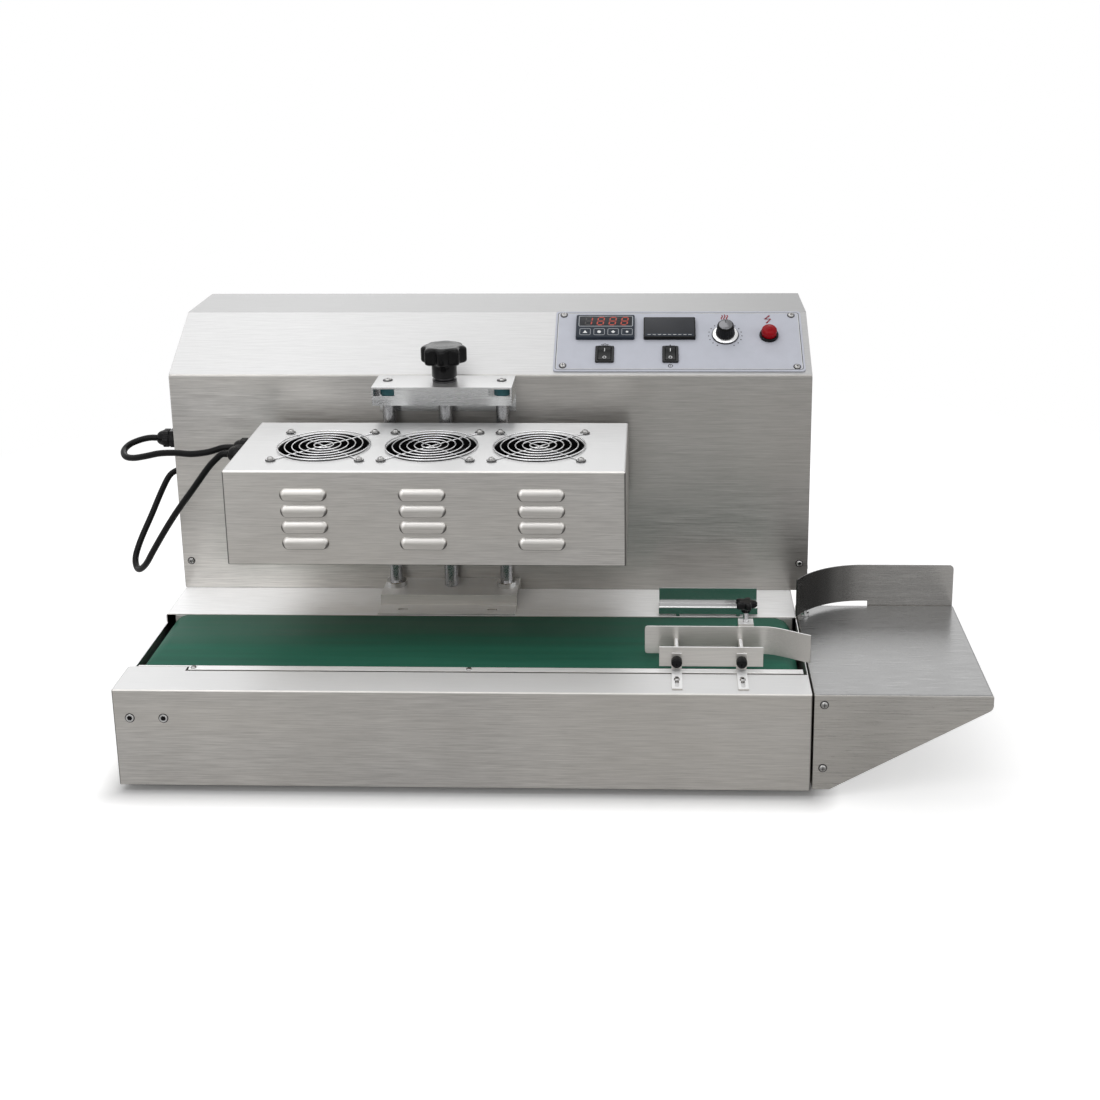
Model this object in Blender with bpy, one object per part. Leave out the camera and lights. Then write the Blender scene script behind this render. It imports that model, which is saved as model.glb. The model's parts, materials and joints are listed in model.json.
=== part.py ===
"""Tabletop induction cap sealer with a belt conveyor, a lifting sealing head and an outfeed table.

The machine stands on Z = 0 with X along the belt, from infeed to outfeed, and +Y towards its back.
Every size is a named value in millimetres, times mm to give metres.
"""

import math

import bmesh
import bpy
from mathutils import Matrix, Vector

mm = 0.001

# Overall sizes
machine_length = 1005 * mm
machine_depth = 500 * mm
table_length = 203 * mm
base_length = machine_length - table_length
foot_height = 10 * mm
base_height = 121 * mm
sheet = 1.5 * mm
thick_sheet = 2 * mm
clearance = 0.3 * mm
fold_radius = 2.5 * mm
foot_radius = 18 * mm
foot_inset_x = 62.5 * mm
foot_inset_y = 35 * mm

# Belt and its slot in the deck
front_deck_width = 48.5 * mm
infeed_deck_width = 58.8 * mm
infeed_deck_length = 72 * mm
rail_width = 10.5 * mm
rail_gap = 3 * mm
belt_gap = 2 * mm
belt_width = 139 * mm
belt_thickness = 2 * mm
belt_below_deck = 0.3 * mm
rear_gap = 2 * mm
roller_radius = 20 * mm
idler_inset = 31.5 * mm
drive_inset = 30 * mm
infeed_wall_drop = 12 * mm
outfeed_wall_drop = 3 * mm
side_plate = 2.5 * mm

# Cabinet
cabinet_setback = 288 * mm
cabinet_overhang = 21 * mm
cabinet_front_height = 293 * mm
slope_run = 100 * mm
slope_rise = 59 * mm

# Sealing head
head_length = 464 * mm
head_depth = 185 * mm
head_height = 115 * mm
head_left_inset = 126.5 * mm
head_front_inset = 65 * mm
head_above_deck = 127 * mm
head_base_thickness = 5 * mm
fan_end_margin = 37.75 * mm
fan_gap = 13.5 * mm
fan_pitch = (head_length - 2 * fan_end_margin) / 3
fan_size = fan_pitch - fan_gap
fan_rim = 4 * mm
fan_opening_radius = fan_size / 2 - fan_rim
fan_thickness = 25 * mm
fan_back_shift = 5.5 * mm
fan_screw_pitch = fan_size - 3 * fan_rim
fan_hub_radius = 19 * mm
fan_tip_gap = 3 * mm
guard_ring_count = 6
guard_outer_radius = fan_opening_radius + 2.5 * mm
guard_inner_radius = 13.5 * mm
guard_ring_step = (guard_outer_radius - guard_inner_radius) / (guard_ring_count - 1)
guard_wire = 0.9 * mm
louvre_length = 55 * mm
louvre_height = 14.7 * mm
louvre_depth = 4.5 * mm
louvre_pitch = 19.7 * mm
louvre_rows = 4
louvre_column_pitch = fan_pitch + 7.5 * mm
louvre_shift = -2 * mm
louvre_top_drop = 28.6 * mm

# Lift
lift_shift = 0.5 * mm
rod_spacing = 144 * mm
rod_radius = 8 * mm
screw_radius = 9 * mm
screw_journal_radius = 5.7 * mm
rod_from_cabinet = 24 * mm
bracket_width = 175 * mm
bracket_depth = 56 * mm
bracket_drop = 23.5 * mm
platform_height = 16 * mm
platform_foot = 26.5 * mm
carriage_height = 70 * mm
carriage_above_head_base = 25 * mm
carriage_block = 28 * mm
knob_radius = 29 * mm
knob_lobes = 8
collar_height = 5.5 * mm

# Outfeed table and its guard
table_gap = 1.5 * mm
table_depth = 243.5 * mm
table_lip = 17.5 * mm
table_foot_length = 19.6 * mm
table_corner_radius = 8 * mm
table_pad = 30 * mm
guard_height = 55 * mm
guard_lift = 5.5 * mm
guard_radius = 105 * mm
guard_straight_inset = 87.5 * mm
guard_end_inset = 1.5 * mm
guard_skirt = 36 * mm

# Bottle guides over the belt
guide_inset = 115.5 * mm
guide_plate_length = 121 * mm
guide_plate_height = 24 * mm
guide_lift = 5 * mm
guide_stand_spacing = 75.5 * mm
guide_stand_width = 12 * mm
guide_foot_length = 50 * mm
guide_stand_height = 22 * mm
guide_sheet_straight = 139 * mm
guide_sheet_bent = 54 * mm
guide_sheet_overhang = 2.5 * mm
guide_sheet_inset = 85 * mm
guide_flare = 23 * mm
guide_sheet_height = 35 * mm
guide_sheet_lift = 8 * mm
rear_guide_length = 124 * mm
rear_bar_depth = 12 * mm
rear_bar_height = 10 * mm
rear_bar_lift = 4 * mm
rear_plate_height = 30.5 * mm

# Control panel. Centres are measured from its left end, and along the slope from the cabinet's front fold
panel_end_inset = 8 * mm
panel_length = 321.5 * mm
panel_start = 5.5 * mm
panel_height = 109 * mm
panel_thickness = 2 * mm
panel_lap = 8 * mm
meter_centre = (65.5 * mm, 82 * mm)
meter_size = (76.5 * mm, 42 * mm)
meter_body = (72 * mm, 35 * mm)
bezel_height = 5 * mm
meter_window = (69.5 * mm, 19.5 * mm)
meter_window_row = 90.7 * mm
display_centre = (149.2 * mm, 79.8 * mm)
display_size = (67.5 * mm, 37.5 * mm)
display_body = (60 * mm, 31 * mm)
rocker_centres = {"power": (65.5 * mm, 34 * mm), "conveyor": (150 * mm, 34 * mm)}
rocker_frames = {"power": (24.2 * mm, 29 * mm), "conveyor": (20.8 * mm, 29 * mm)}
rocker_pockets = {"power": (17.4 * mm, 24.6 * mm), "conveyor": (14 * mm, 24.6 * mm)}
rocker_radius = 12 * mm
rocker_tilt = math.radians(10)
rocker_bezel = 2.4 * mm
dial_centre = (221.5 * mm, 70 * mm)
dial_skirt_radius = 17.5 * mm
dial_grip_radius = 11.2 * mm
dial_height = 19 * mm
dial_cap_radius = 9 * mm
button_centre = (278 * mm, 68.5 * mm)
button_radius = 10 * mm
button_collar_radius = 12.4 * mm
button_height = 11 * mm
button_travel = 3 * mm

# Cable glands and cables
gland_flats = 22 * mm
gland_length = 27.5 * mm
gland_thread_radius = 7.7 * mm
cable_radius = 4.1 * mm
upper_cabinet_gland = (20 * mm, 333 * mm)
lower_cabinet_gland = (107 * mm, 258 * mm)
head_gland_height = 92 * mm
head_gland_insets = (32 * mm, 58 * mm)

# Vents and mains inlet in the rear panel
vent_half_length = 22 * mm
vent_half_height = 3 * mm
vent_pitch = 80 * mm
vent_shift = 71 * mm
vent_top_drop = 70 * mm
inlet_inset = 82.5 * mm
inlet_height = 55 * mm

# Inside the machine
coil_end_inset = 85 * mm
coil_radius = 62 * mm
coil_eye_radius = 26 * mm
coil_height = 11 * mm
yoke_end_inset = 82 * mm
yoke_half_width = 8 * mm
yoke_height = 10 * mm
ferrite_pitch = 78 * mm
ferrite_half_width = 11 * mm
ferrite_half_length = 66 * mm
ferrite_height = 14 * mm
inverter_inset = 202.5 * mm
fin_pitch = 16.5 * mm
fin_thickness = 4 * mm
fin_height = 45 * mm
fin_base = 6 * mm
fin_count = 8
inverter_setback = 52 * mm
inverter_depth = 120 * mm
board_margin = 10 * mm
board_height = 26 * mm
motor_radius = 35 * mm
motor_length = 100 * mm
gearbox_width = 66 * mm
gearbox_height = 80 * mm
gearbox_depth = 46 * mm
shaft_radius = 6 * mm

# Places that follow from the sizes
left = -machine_length / 2
right = machine_length / 2
front = -machine_depth / 2
back = machine_depth / 2
base_right = left + base_length
deck_z = foot_height + base_height
slot_front = front + front_deck_width
slot_front_infeed = front + infeed_deck_width
rail_front = slot_front + rail_gap
rail_back = rail_front + rail_width
belt_front = rail_back + belt_gap
belt_back = belt_front + belt_width
slot_back = belt_back + rear_gap
belt_top = deck_z - belt_below_deck
roller_z = belt_top - belt_thickness - clearance - roller_radius
idler_x = left + idler_inset
drive_x = base_right - drive_inset
infeed_end = left + infeed_deck_length
cabinet_front = front + cabinet_setback
cabinet_right = base_right + cabinet_overhang
cabinet_foot = deck_z + clearance
cabinet_fold = deck_z + cabinet_front_height
cabinet_top = cabinet_fold + slope_rise
slope_tilt = math.atan2(slope_rise, slope_run)
head_left = left + head_left_inset
head_right = head_left + head_length
head_front = front + head_front_inset
head_back = head_front + head_depth
head_bottom = deck_z + head_above_deck
head_top = head_bottom + head_height
head_middle = (head_left + head_right) / 2
lift_x = head_middle + lift_shift
guard_straight_start = base_right + guard_straight_inset
guide_x = base_right - guide_inset
guide_sheet_end = base_right + guide_sheet_overhang
guide_sheet_bend = guide_sheet_end - guide_sheet_bent
guide_sheet_start = guide_sheet_bend - guide_sheet_straight
guide_sheet_y = front + guide_sheet_inset
panel_left = cabinet_right - panel_end_inset - panel_length
fan_y = head_front + head_depth / 2 - fan_back_shift
lift_y = cabinet_front - rod_from_cabinet
lift_back = cabinet_front - clearance
platform_top = deck_z + platform_height
bracket_top = cabinet_fold
rod_xs = (lift_x - rod_spacing / 2, lift_x + rod_spacing / 2)
fan_names = ("left", "middle", "right")
fan_xs = tuple(head_middle + louvre_shift + fan_pitch * step for step in (-1, 0, 1))

FINISHES = {
    "stainless": ((0.62, 0.61, 0.59), 0.32, 1.0),
    "stainless_dark": ((0.36, 0.38, 0.37), 0.3, 1.0),
    "aluminium": ((0.72, 0.73, 0.75), 0.35, 1.0),
    "chrome": ((0.8, 0.8, 0.8), 0.12, 1.0),
    "steel": ((0.45, 0.45, 0.46), 0.4, 1.0),
    "black_plastic": ((0.02, 0.02, 0.022), 0.4, 0.0),
    "black_rubber": ((0.015, 0.015, 0.016), 0.6, 0.0),
    "slate_plastic": ((0.05, 0.06, 0.08), 0.4, 0.0),
    "panel_grey": ((0.55, 0.57, 0.63), 0.5, 0.0),
    "red_plastic": ((0.6, 0.03, 0.03), 0.25, 0.0),
    "belt_green": ((0.06, 0.2, 0.14), 0.7, 0.0),
    "phenolic": ((0.5, 0.36, 0.2), 0.6, 0.0),
    "copper": ((0.7, 0.35, 0.2), 0.4, 1.0),
    "ferrite": ((0.06, 0.06, 0.065), 0.7, 0.0),
}


def clear_scene():
    """Empties the scene and makes it metric."""
    for thing in list(bpy.data.objects):
        bpy.data.objects.remove(thing, do_unlink=True)
    bpy.context.scene.unit_settings.system = "METRIC"


def finish_material(finish):
    """The Principled material of a finish, made once."""
    existing = bpy.data.materials.get(finish)
    if existing:
        return existing
    colour, roughness, metallic = FINISHES[finish]
    made = bpy.data.materials.new(finish)
    made.use_nodes = True
    shader = made.node_tree.nodes["Principled BSDF"]
    shader.inputs["Base Color"].default_value = (*colour, 1)
    shader.inputs["Roughness"].default_value = roughness
    shader.inputs["Metallic"].default_value = metallic
    return made


def add_object(name, bm, finish, place=None):
    """Turns a bmesh into a named object, shaded smooth with its sharp edges kept."""
    bmesh.ops.recalc_face_normals(bm, faces=bm.faces)
    mesh = bpy.data.meshes.new(name)
    bm.to_mesh(mesh)
    bm.free()
    mesh.shade_smooth()
    mesh.set_sharp_from_angle(angle=math.radians(35))
    mesh.materials.append(finish_material(finish))
    thing = bpy.data.objects.new(name, mesh)
    bpy.context.scene.collection.objects.link(thing)
    if place is not None:
        thing.matrix_world = place
    return thing


def copy_object(name, source, place):
    """A second object on the same mesh, at another place."""
    thing = bpy.data.objects.new(name, source.data)
    bpy.context.scene.collection.objects.link(thing)
    thing.matrix_world = place
    return thing


def combine(thing, tools, operation="DIFFERENCE"):
    """Cuts the tools from a thing, or joins them to it, and keeps only the result."""
    for tool in tools:
        tool.hide_render = True
        tool.display_type = "WIRE"
        modifier = thing.modifiers.new("boolean", "BOOLEAN")
        modifier.operation = operation
        modifier.solver = "EXACT"
        modifier.object = tool
    bpy.context.view_layer.update()
    evaluated = thing.evaluated_get(bpy.context.evaluated_depsgraph_get())
    result = bpy.data.meshes.new_from_object(evaluated)
    thing.modifiers.clear()
    thing.data = result
    result.shade_smooth()
    result.set_sharp_from_angle(angle=math.radians(35))
    for tool in tools:
        bpy.data.objects.remove(tool, do_unlink=True)
    return thing


def box_mesh(low, high):
    """A bmesh box between two corners."""
    bm = bmesh.new()
    bmesh.ops.create_cube(bm, size=1)
    low, high = Vector(low), Vector(high)
    for vert in bm.verts:
        vert.co = [low[i] + (high[i] - low[i]) * (vert.co[i] + 0.5) for i in range(3)]
    return bm


def box(name, low, high, finish, place=None):
    """A sharp-edged box object."""
    return add_object(name, box_mesh(low, high), finish, place)


def bevel_edges(bm, wanted, width, segments=2):
    """Rounds the edges that pass a test on their two ends."""
    edges = [edge for edge in bm.edges if wanted(edge.verts[0].co, edge.verts[1].co)]
    bmesh.ops.bevel(bm, geom=edges, offset=width, segments=segments, profile=0.5, affect="EDGES")


def folded_box(name, low, high, finish, radius=fold_radius):
    """A box whose edges are all rounded but those round its open bottom."""
    bm = box_mesh(low, high)
    middle = (low[2] + high[2]) / 2
    bevel_edges(bm, lambda a, b: max(a.z, b.z) > middle, radius)
    return add_object(name, bm, finish)


def rounded_outline(corners, steps=4):
    """A closed outline from corners (u, v, radius), each with its arc."""
    outline = []
    for i, (u, v, radius) in enumerate(corners):
        corner = Vector((u, v))
        if radius == 0:
            outline.append((u, v))
            continue
        before = (Vector(corners[i - 1][:2]) - corner).normalized()
        after = (Vector(corners[(i + 1) % len(corners)][:2]) - corner).normalized()
        half = before.angle(after) / 2
        centre = corner + (before + after).normalized() * (radius / math.sin(half))
        start = corner + before * (radius / math.tan(half)) - centre
        end = corner + after * (radius / math.tan(half)) - centre
        first = math.atan2(start.y, start.x)
        sweep = (math.atan2(end.y, end.x) - first + math.pi) % (2 * math.pi) - math.pi
        for k in range(steps + 1):
            angle = first + sweep * k / steps
            outline.append((centre.x + radius * math.cos(angle), centre.y + radius * math.sin(angle)))
    return outline


def thicken(path, thickness):
    """The outline of a folded sheet: one face follows the path and the other lies to its left."""
    points = [Vector(point) for point in path]
    normals = []
    for first, second in zip(points, points[1:]):
        along = (second - first).normalized()
        normals.append(Vector((-along.y, along.x)))
    other = []
    for i, point in enumerate(points):
        before = normals[max(i - 1, 0)]
        after = normals[min(i, len(normals) - 1)]
        mitre = (before + after).normalized()
        other.append(point + mitre * (thickness / mitre.dot(before)))
    return [tuple(point) for point in points + other[::-1]]


def skin(loops, closed=False):
    """A bmesh skinned over loops of equal length, capped at both ends or closed into a ring."""
    bm = bmesh.new()
    rings = [[bm.verts.new(point) for point in loop] for loop in loops]
    count = len(rings[0])
    following = rings[1:] + rings[:1] if closed else rings[1:]
    for lower, upper in zip(rings, following):
        for k in range(count):
            after = (k + 1) % count
            bm.faces.new((lower[k], lower[after], upper[after], upper[k]))
    if not closed:
        bm.faces.new(rings[0])
        bm.faces.new(rings[-1])
    return bm


def prism_mesh(outline, axis, start, stop):
    """A bmesh of an outline swept along X, Y or Z."""
    order = {
        "X": lambda u, v, along: (along, u, v),
        "Y": lambda u, v, along: (u, along, v),
        "Z": lambda u, v, along: (u, v, along),
    }[axis]
    return skin([[order(u, v, along) for u, v in outline] for along in (start, stop)])


def prism(name, outline, axis, start, stop, finish, place=None):
    """An outline swept along an axis, as an object."""
    return add_object(name, prism_mesh(outline, axis, start, stop), finish, place)


def annular_prism(name, outer, inner, axis, start, stop, finish):
    """A closed band between two outlines with the same number of points."""
    order = (lambda u, v, along: (u, along, v)) if axis == "Y" else (lambda u, v, along: (u, v, along))
    corners = ((outer, start), (outer, stop), (inner, stop), (inner, start))
    loops = [[order(u, v, along) for u, v in outline] for outline, along in corners]
    return add_object(name, skin(loops, closed=True), finish)


def revolve_mesh(profile, segments, ring=False):
    """A bmesh turned about Z from (radius, height) pairs. A radius may be a function of the angle."""
    bm = bmesh.new()
    loops = []
    for radius, height in profile:
        if radius == 0:
            loops.append([bm.verts.new((0, 0, height))])
            continue
        loop = []
        for k in range(segments):
            angle = 2 * math.pi * k / segments
            reach = radius(angle) if callable(radius) else radius
            loop.append(bm.verts.new((reach * math.cos(angle), reach * math.sin(angle), height)))
        loops.append(loop)
    following = loops[1:] + loops[:1] if ring else loops[1:]
    for lower, upper in zip(loops, following):
        for k in range(segments):
            corners = [lower[k % len(lower)], lower[(k + 1) % segments % len(lower)]]
            corners += [upper[(k + 1) % segments % len(upper)], upper[k % len(upper)]]
            distinct = list(dict.fromkeys(corners))
            if len(distinct) > 2:
                bm.faces.new(distinct)
    return bm


def turned(name, profile, finish, place=None, segments=24, ring=False):
    """A turned solid. A profile that ends on the axis has a radius of 0 there."""
    return add_object(name, revolve_mesh(profile, segments, ring), finish, place)


def along_axis(origin, axis):
    """The place of a turned piece whose own Z points along an axis."""
    turn = Vector((0, 0, 1)).rotation_difference(Vector(axis)).to_matrix().to_4x4()
    return Matrix.Translation(Vector(origin)) @ turn


def cylinder(name, origin, axis, radius, length, finish, segments=24):
    """A plain cylinder that starts at its origin."""
    profile = ((0, 0), (radius, 0), (radius, length), (0, length))
    return turned(name, profile, finish, along_axis(origin, axis), segments)


def hole(origin, axis, radius, length, segments=24):
    """A round cutter."""
    return cylinder("cutter", origin, axis, radius, length, "steel", segments)


def block(low, high, place=None):
    """A square cutter."""
    return box("cutter", low, high, "steel", place)


def hexagon(flats):
    """The radius of a hexagon of this size across its flats, as a function of the angle."""
    sixth = math.pi / 3
    return lambda angle: flats / 2 / math.cos((angle + sixth / 2) % sixth - sixth / 2)


def on_slope(x, along, out=0.0):
    """A place on the slope, with X from the panel's left end, Y up the slope and Z outwards."""
    up = Vector((0, math.cos(slope_tilt), math.sin(slope_tilt)))
    outward = Vector((0, -math.sin(slope_tilt), math.cos(slope_tilt)))
    origin = Vector((panel_left + x, cabinet_front, cabinet_fold)) + up * along + outward * out
    return Matrix.Translation(origin) @ Matrix.Rotation(slope_tilt, 4, "X")


def racetrack(start, stop, middle, radius, steps):
    """A closed outline of two half circles joined by straight runs."""
    outline = []
    for centre, first in ((stop, -math.pi / 2), (start, math.pi / 2)):
        for k in range(steps + 1):
            angle = first + math.pi * k / steps
            outline.append((centre + radius * math.cos(angle), middle + radius * math.sin(angle)))
    return outline


def louvre_parts(x, wall, z, facing):
    """The hood of a pressed louvre and the cutter of its opening, on a wall that faces -Y or +Y."""
    half, tall = louvre_length / 2, louvre_height / 2
    inner = racetrack(x - half + tall, x + half - tall, z, tall, 4)
    lip = tall * 0.5
    outer = racetrack(x - half + tall, x + half - tall, z - tall + lip, lip, 4)
    root = wall - facing * sheet / 2
    nose = wall + facing * louvre_depth
    loops = [[(u, root, v) for u, v in inner], [(u, nose, v) for u, v in outer]]
    hood = add_object("hood", skin(loops), "stainless")
    ends = sorted((wall - facing * 2 * sheet, nose - facing * sheet))
    opening = block(
        (x - half + tall, ends[0], z - tall - sheet),
        (x + half - tall, ends[1], z - tall + lip * 1.2),
    )
    return hood, opening


def make_base():
    """The base housing with the belt slot in its deck, and its bottom plate with the four feet."""
    low = (left, front, foot_height)
    housing = folded_box("base_housing", low, (base_right, back, deck_z), "stainless")
    hollow = block(
        (left + sheet, front + sheet, foot_height - sheet),
        (base_right - sheet, back - sheet, deck_z - sheet),
    )
    past = 10 * mm
    high = deck_z + past
    slot_low = (infeed_end, slot_front, deck_z - outfeed_wall_drop)
    slot = block(slot_low, (base_right + past, slot_back, high))
    infeed_low = (left - past, slot_front_infeed, deck_z - infeed_wall_drop)
    infeed = block(infeed_low, (infeed_end + past, slot_back, high))
    combine(housing, [hollow, slot, infeed])
    inset = sheet + clearance
    plate_low = foot_height + clearance
    bottom = box(
        "base_bottom",
        (left + inset, front + inset, plate_low),
        (base_right - inset, back - inset, plate_low + thick_sheet),
        "stainless",
    )
    profile = (
        (0, 0),
        (foot_radius - 2 * mm, 0),
        (foot_radius, 2 * mm),
        (foot_radius - 3 * mm, plate_low + thick_sheet / 2),
        (0, plate_low + thick_sheet / 2),
    )
    feet = []
    for x in (left + foot_inset_x, base_right - foot_inset_x):
        for y in (front + foot_inset_y, back - foot_inset_y):
            feet.append(turned("foot", profile, "stainless", Matrix.Translation((x, y, 0)), 14))
    combine(bottom, feet, "UNION")


def cabinet_outline(inset=0.0):
    """The cabinet's section, or the same moved inwards. Its foot and its back stay open inside."""
    slope = slope_tilt
    lower = cabinet_fold + inset * (math.tan(slope) - 1 / math.cos(slope))
    upper = cabinet_front + slope_run + inset * (1 / math.sin(slope) - 1 / math.tan(slope))
    radius = fold_radius + sheet - inset
    bottom = cabinet_foot - (sheet * 2 if inset else 0)
    rear = back + (sheet * 2 if inset else 0)
    corners = (
        (cabinet_front + inset, bottom, 0),
        (cabinet_front + inset, lower, radius),
        (upper, cabinet_top - inset, radius),
        (rear, cabinet_top - inset, 0),
        (rear, bottom, 0),
    )
    return rounded_outline(corners, 3)


def make_cabinet():
    """The cabinet's folded shell with its openings, and the vented panel that closes its back."""
    bm = prism_mesh(cabinet_outline(), "X", left, cabinet_right)
    bevel_edges(bm, lambda a, b: abs(a.x - b.x) < sheet / 9 and min(a.y, b.y) < back - sheet, 1.2 * mm)
    shell = add_object("cabinet_shell", bm, "stainless")
    inner = prism("cutter", cabinet_outline(sheet), "X", left + sheet, cabinet_right - sheet, "steel")
    window = block(
        (panel_lap, panel_start + panel_lap, -6 * mm),
        (panel_length - panel_lap, panel_start + panel_height - panel_lap, 6 * mm),
        on_slope(0, 0),
    )
    holes = []
    for setback, z in (upper_cabinet_gland, lower_cabinet_gland):
        start = (left - 5 * mm, cabinet_front + setback, z)
        holes.append(hole(start, (1, 0, 0), gland_thread_radius + clearance, 12 * mm))
    combine(shell, [inner, window, *holes])

    inset = sheet + clearance
    panel_back = back - sheet
    panel = box(
        "cabinet_rear_panel",
        (left + inset, panel_back - sheet, cabinet_foot + clearance),
        (cabinet_right - inset, panel_back, cabinet_top - inset),
        "stainless",
    )
    openings = []
    vent_middle = (left + cabinet_right) / 2 + vent_shift
    for x in (vent_middle - vent_pitch / 2, vent_middle + vent_pitch / 2):
        for row in range(4):
            z = cabinet_top - vent_top_drop - row * louvre_pitch
            slot = racetrack(x - vent_half_length, x + vent_half_length, z, vent_half_height, 2)
            openings.append(prism("cutter", slot, "Y", panel_back - 5 * mm, panel_back + 5 * mm, "steel"))
    inlet_x, inlet_z = left + inlet_inset, deck_z + inlet_height
    low = (inlet_x - 14 * mm, back - 9 * mm, inlet_z - 10 * mm)
    openings.append(block(low, (inlet_x + 14 * mm, back, inlet_z + 10 * mm)))
    combine(panel, openings)
    flange = rounded_outline(
        [
            (inlet_x - 22 * mm, inlet_z - 14 * mm, 3 * mm),
            (inlet_x + 22 * mm, inlet_z - 14 * mm, 3 * mm),
            (inlet_x + 22 * mm, inlet_z + 14 * mm, 3 * mm),
            (inlet_x - 22 * mm, inlet_z + 14 * mm, 3 * mm),
        ]
    )
    inlet = prism("mains_inlet", flange, "Y", panel_back + clearance, back, "black_plastic")
    low = (inlet_x - 13.5 * mm, back - 26 * mm, inlet_z - 9.5 * mm)
    combine(inlet, [block(low, (inlet_x + 13.5 * mm, back - 0.5 * mm, inlet_z + 9.5 * mm))], "UNION")
    low = (inlet_x - 11.5 * mm, back - 18 * mm, inlet_z - 7.5 * mm)
    combine(inlet, [block(low, (inlet_x + 11.5 * mm, back + 1 * mm, inlet_z + 7.5 * mm))])


def make_conveyor():
    """The belt, its two rollers on bearings, the side plates, the bed and the drive."""
    steps = 10
    outer = racetrack(idler_x, drive_x, roller_z, roller_radius + clearance + belt_thickness, steps)
    inner = racetrack(idler_x, drive_x, roller_z, roller_radius + clearance, steps)
    annular_prism("conveyor_belt", outer, inner, "Y", belt_front, belt_back, "belt_green")

    roller_start, roller_stop = belt_front + 1.5 * mm, belt_back - 1.5 * mm
    plate_front = (rail_back - side_plate, rail_back)
    plate_rear = (belt_back + 0.5 * mm, belt_back + 0.5 * mm + side_plate)
    shaft_front = plate_front[0] - 4 * mm
    gearbox_front = slot_back + 9 * mm
    for name, x, shaft_end in (
        ("idler_roller", idler_x, plate_rear[1] + 4 * mm),
        ("drive_roller", drive_x, gearbox_front + 25 * mm),
    ):
        profile = (
            (0, shaft_front),
            (shaft_radius, shaft_front),
            (shaft_radius, roller_start),
            (roller_radius, roller_start),
            (roller_radius, roller_stop),
            (shaft_radius, roller_stop),
            (shaft_radius, shaft_end),
            (0, shaft_end),
        )
        turned(name, profile, "steel", along_axis((x, 0, roller_z), (0, 1, 0)), 24)

    floor = foot_height + clearance + thick_sheet + clearance
    ends = (idler_x - 19 * mm, drive_x + 24 * mm)
    low = (ends[0], plate_front[0], floor)
    front_plate = box("conveyor_side_front", low, (ends[1], plate_front[1], deck_z), "stainless")
    flange_low = (infeed_end + 2 * mm, rail_front, deck_z - sheet)
    flange = box("flange", flange_low, (ends[1], rail_back - 1 * mm, deck_z), "stainless")
    combine(front_plate, [flange], "UNION")
    rear_plate = box(
        "conveyor_side_rear",
        (ends[0], plate_rear[0], floor),
        (ends[1], plate_rear[1], deck_z - sheet - clearance),
        "stainless",
    )
    for plate, (near, far) in ((front_plate, plate_front), (rear_plate, plate_rear)):
        bores = []
        for x in (idler_x, drive_x):
            start = (x, near - 5 * mm, roller_z)
            bores.append(hole(start, (0, 1, 0), shaft_radius + clearance, far - near + 10 * mm))
        combine(plate, bores)
    bed_top = roller_z + roller_radius
    edge = roller_radius + 5 * mm
    box(
        "belt_bed",
        (idler_x + edge, plate_front[1] + clearance, bed_top - 3 * mm),
        (drive_x - edge, plate_rear[0] - clearance, bed_top),
        "stainless",
    )

    gear_low = roller_z + 18 * mm - gearbox_height
    gear_right = base_right - sheet - 2 * mm
    drive = box(
        "gear_motor",
        (gear_right - gearbox_width, gearbox_front, floor),
        (gear_right, gearbox_front + gearbox_depth, gear_low + gearbox_height),
        "aluminium",
    )
    start = (gear_right - motor_radius, gearbox_front + gearbox_depth / 2, gear_low + motor_radius)
    motor = cylinder("motor", start, (0, 1, 0), motor_radius, motor_length + gearbox_depth / 2, "steel")
    combine(drive, [motor], "UNION")
    start = (drive_x, gearbox_front - 5 * mm, roller_z)
    combine(drive, [hole(start, (0, 1, 0), shaft_radius + clearance, 31 * mm)])


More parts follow.
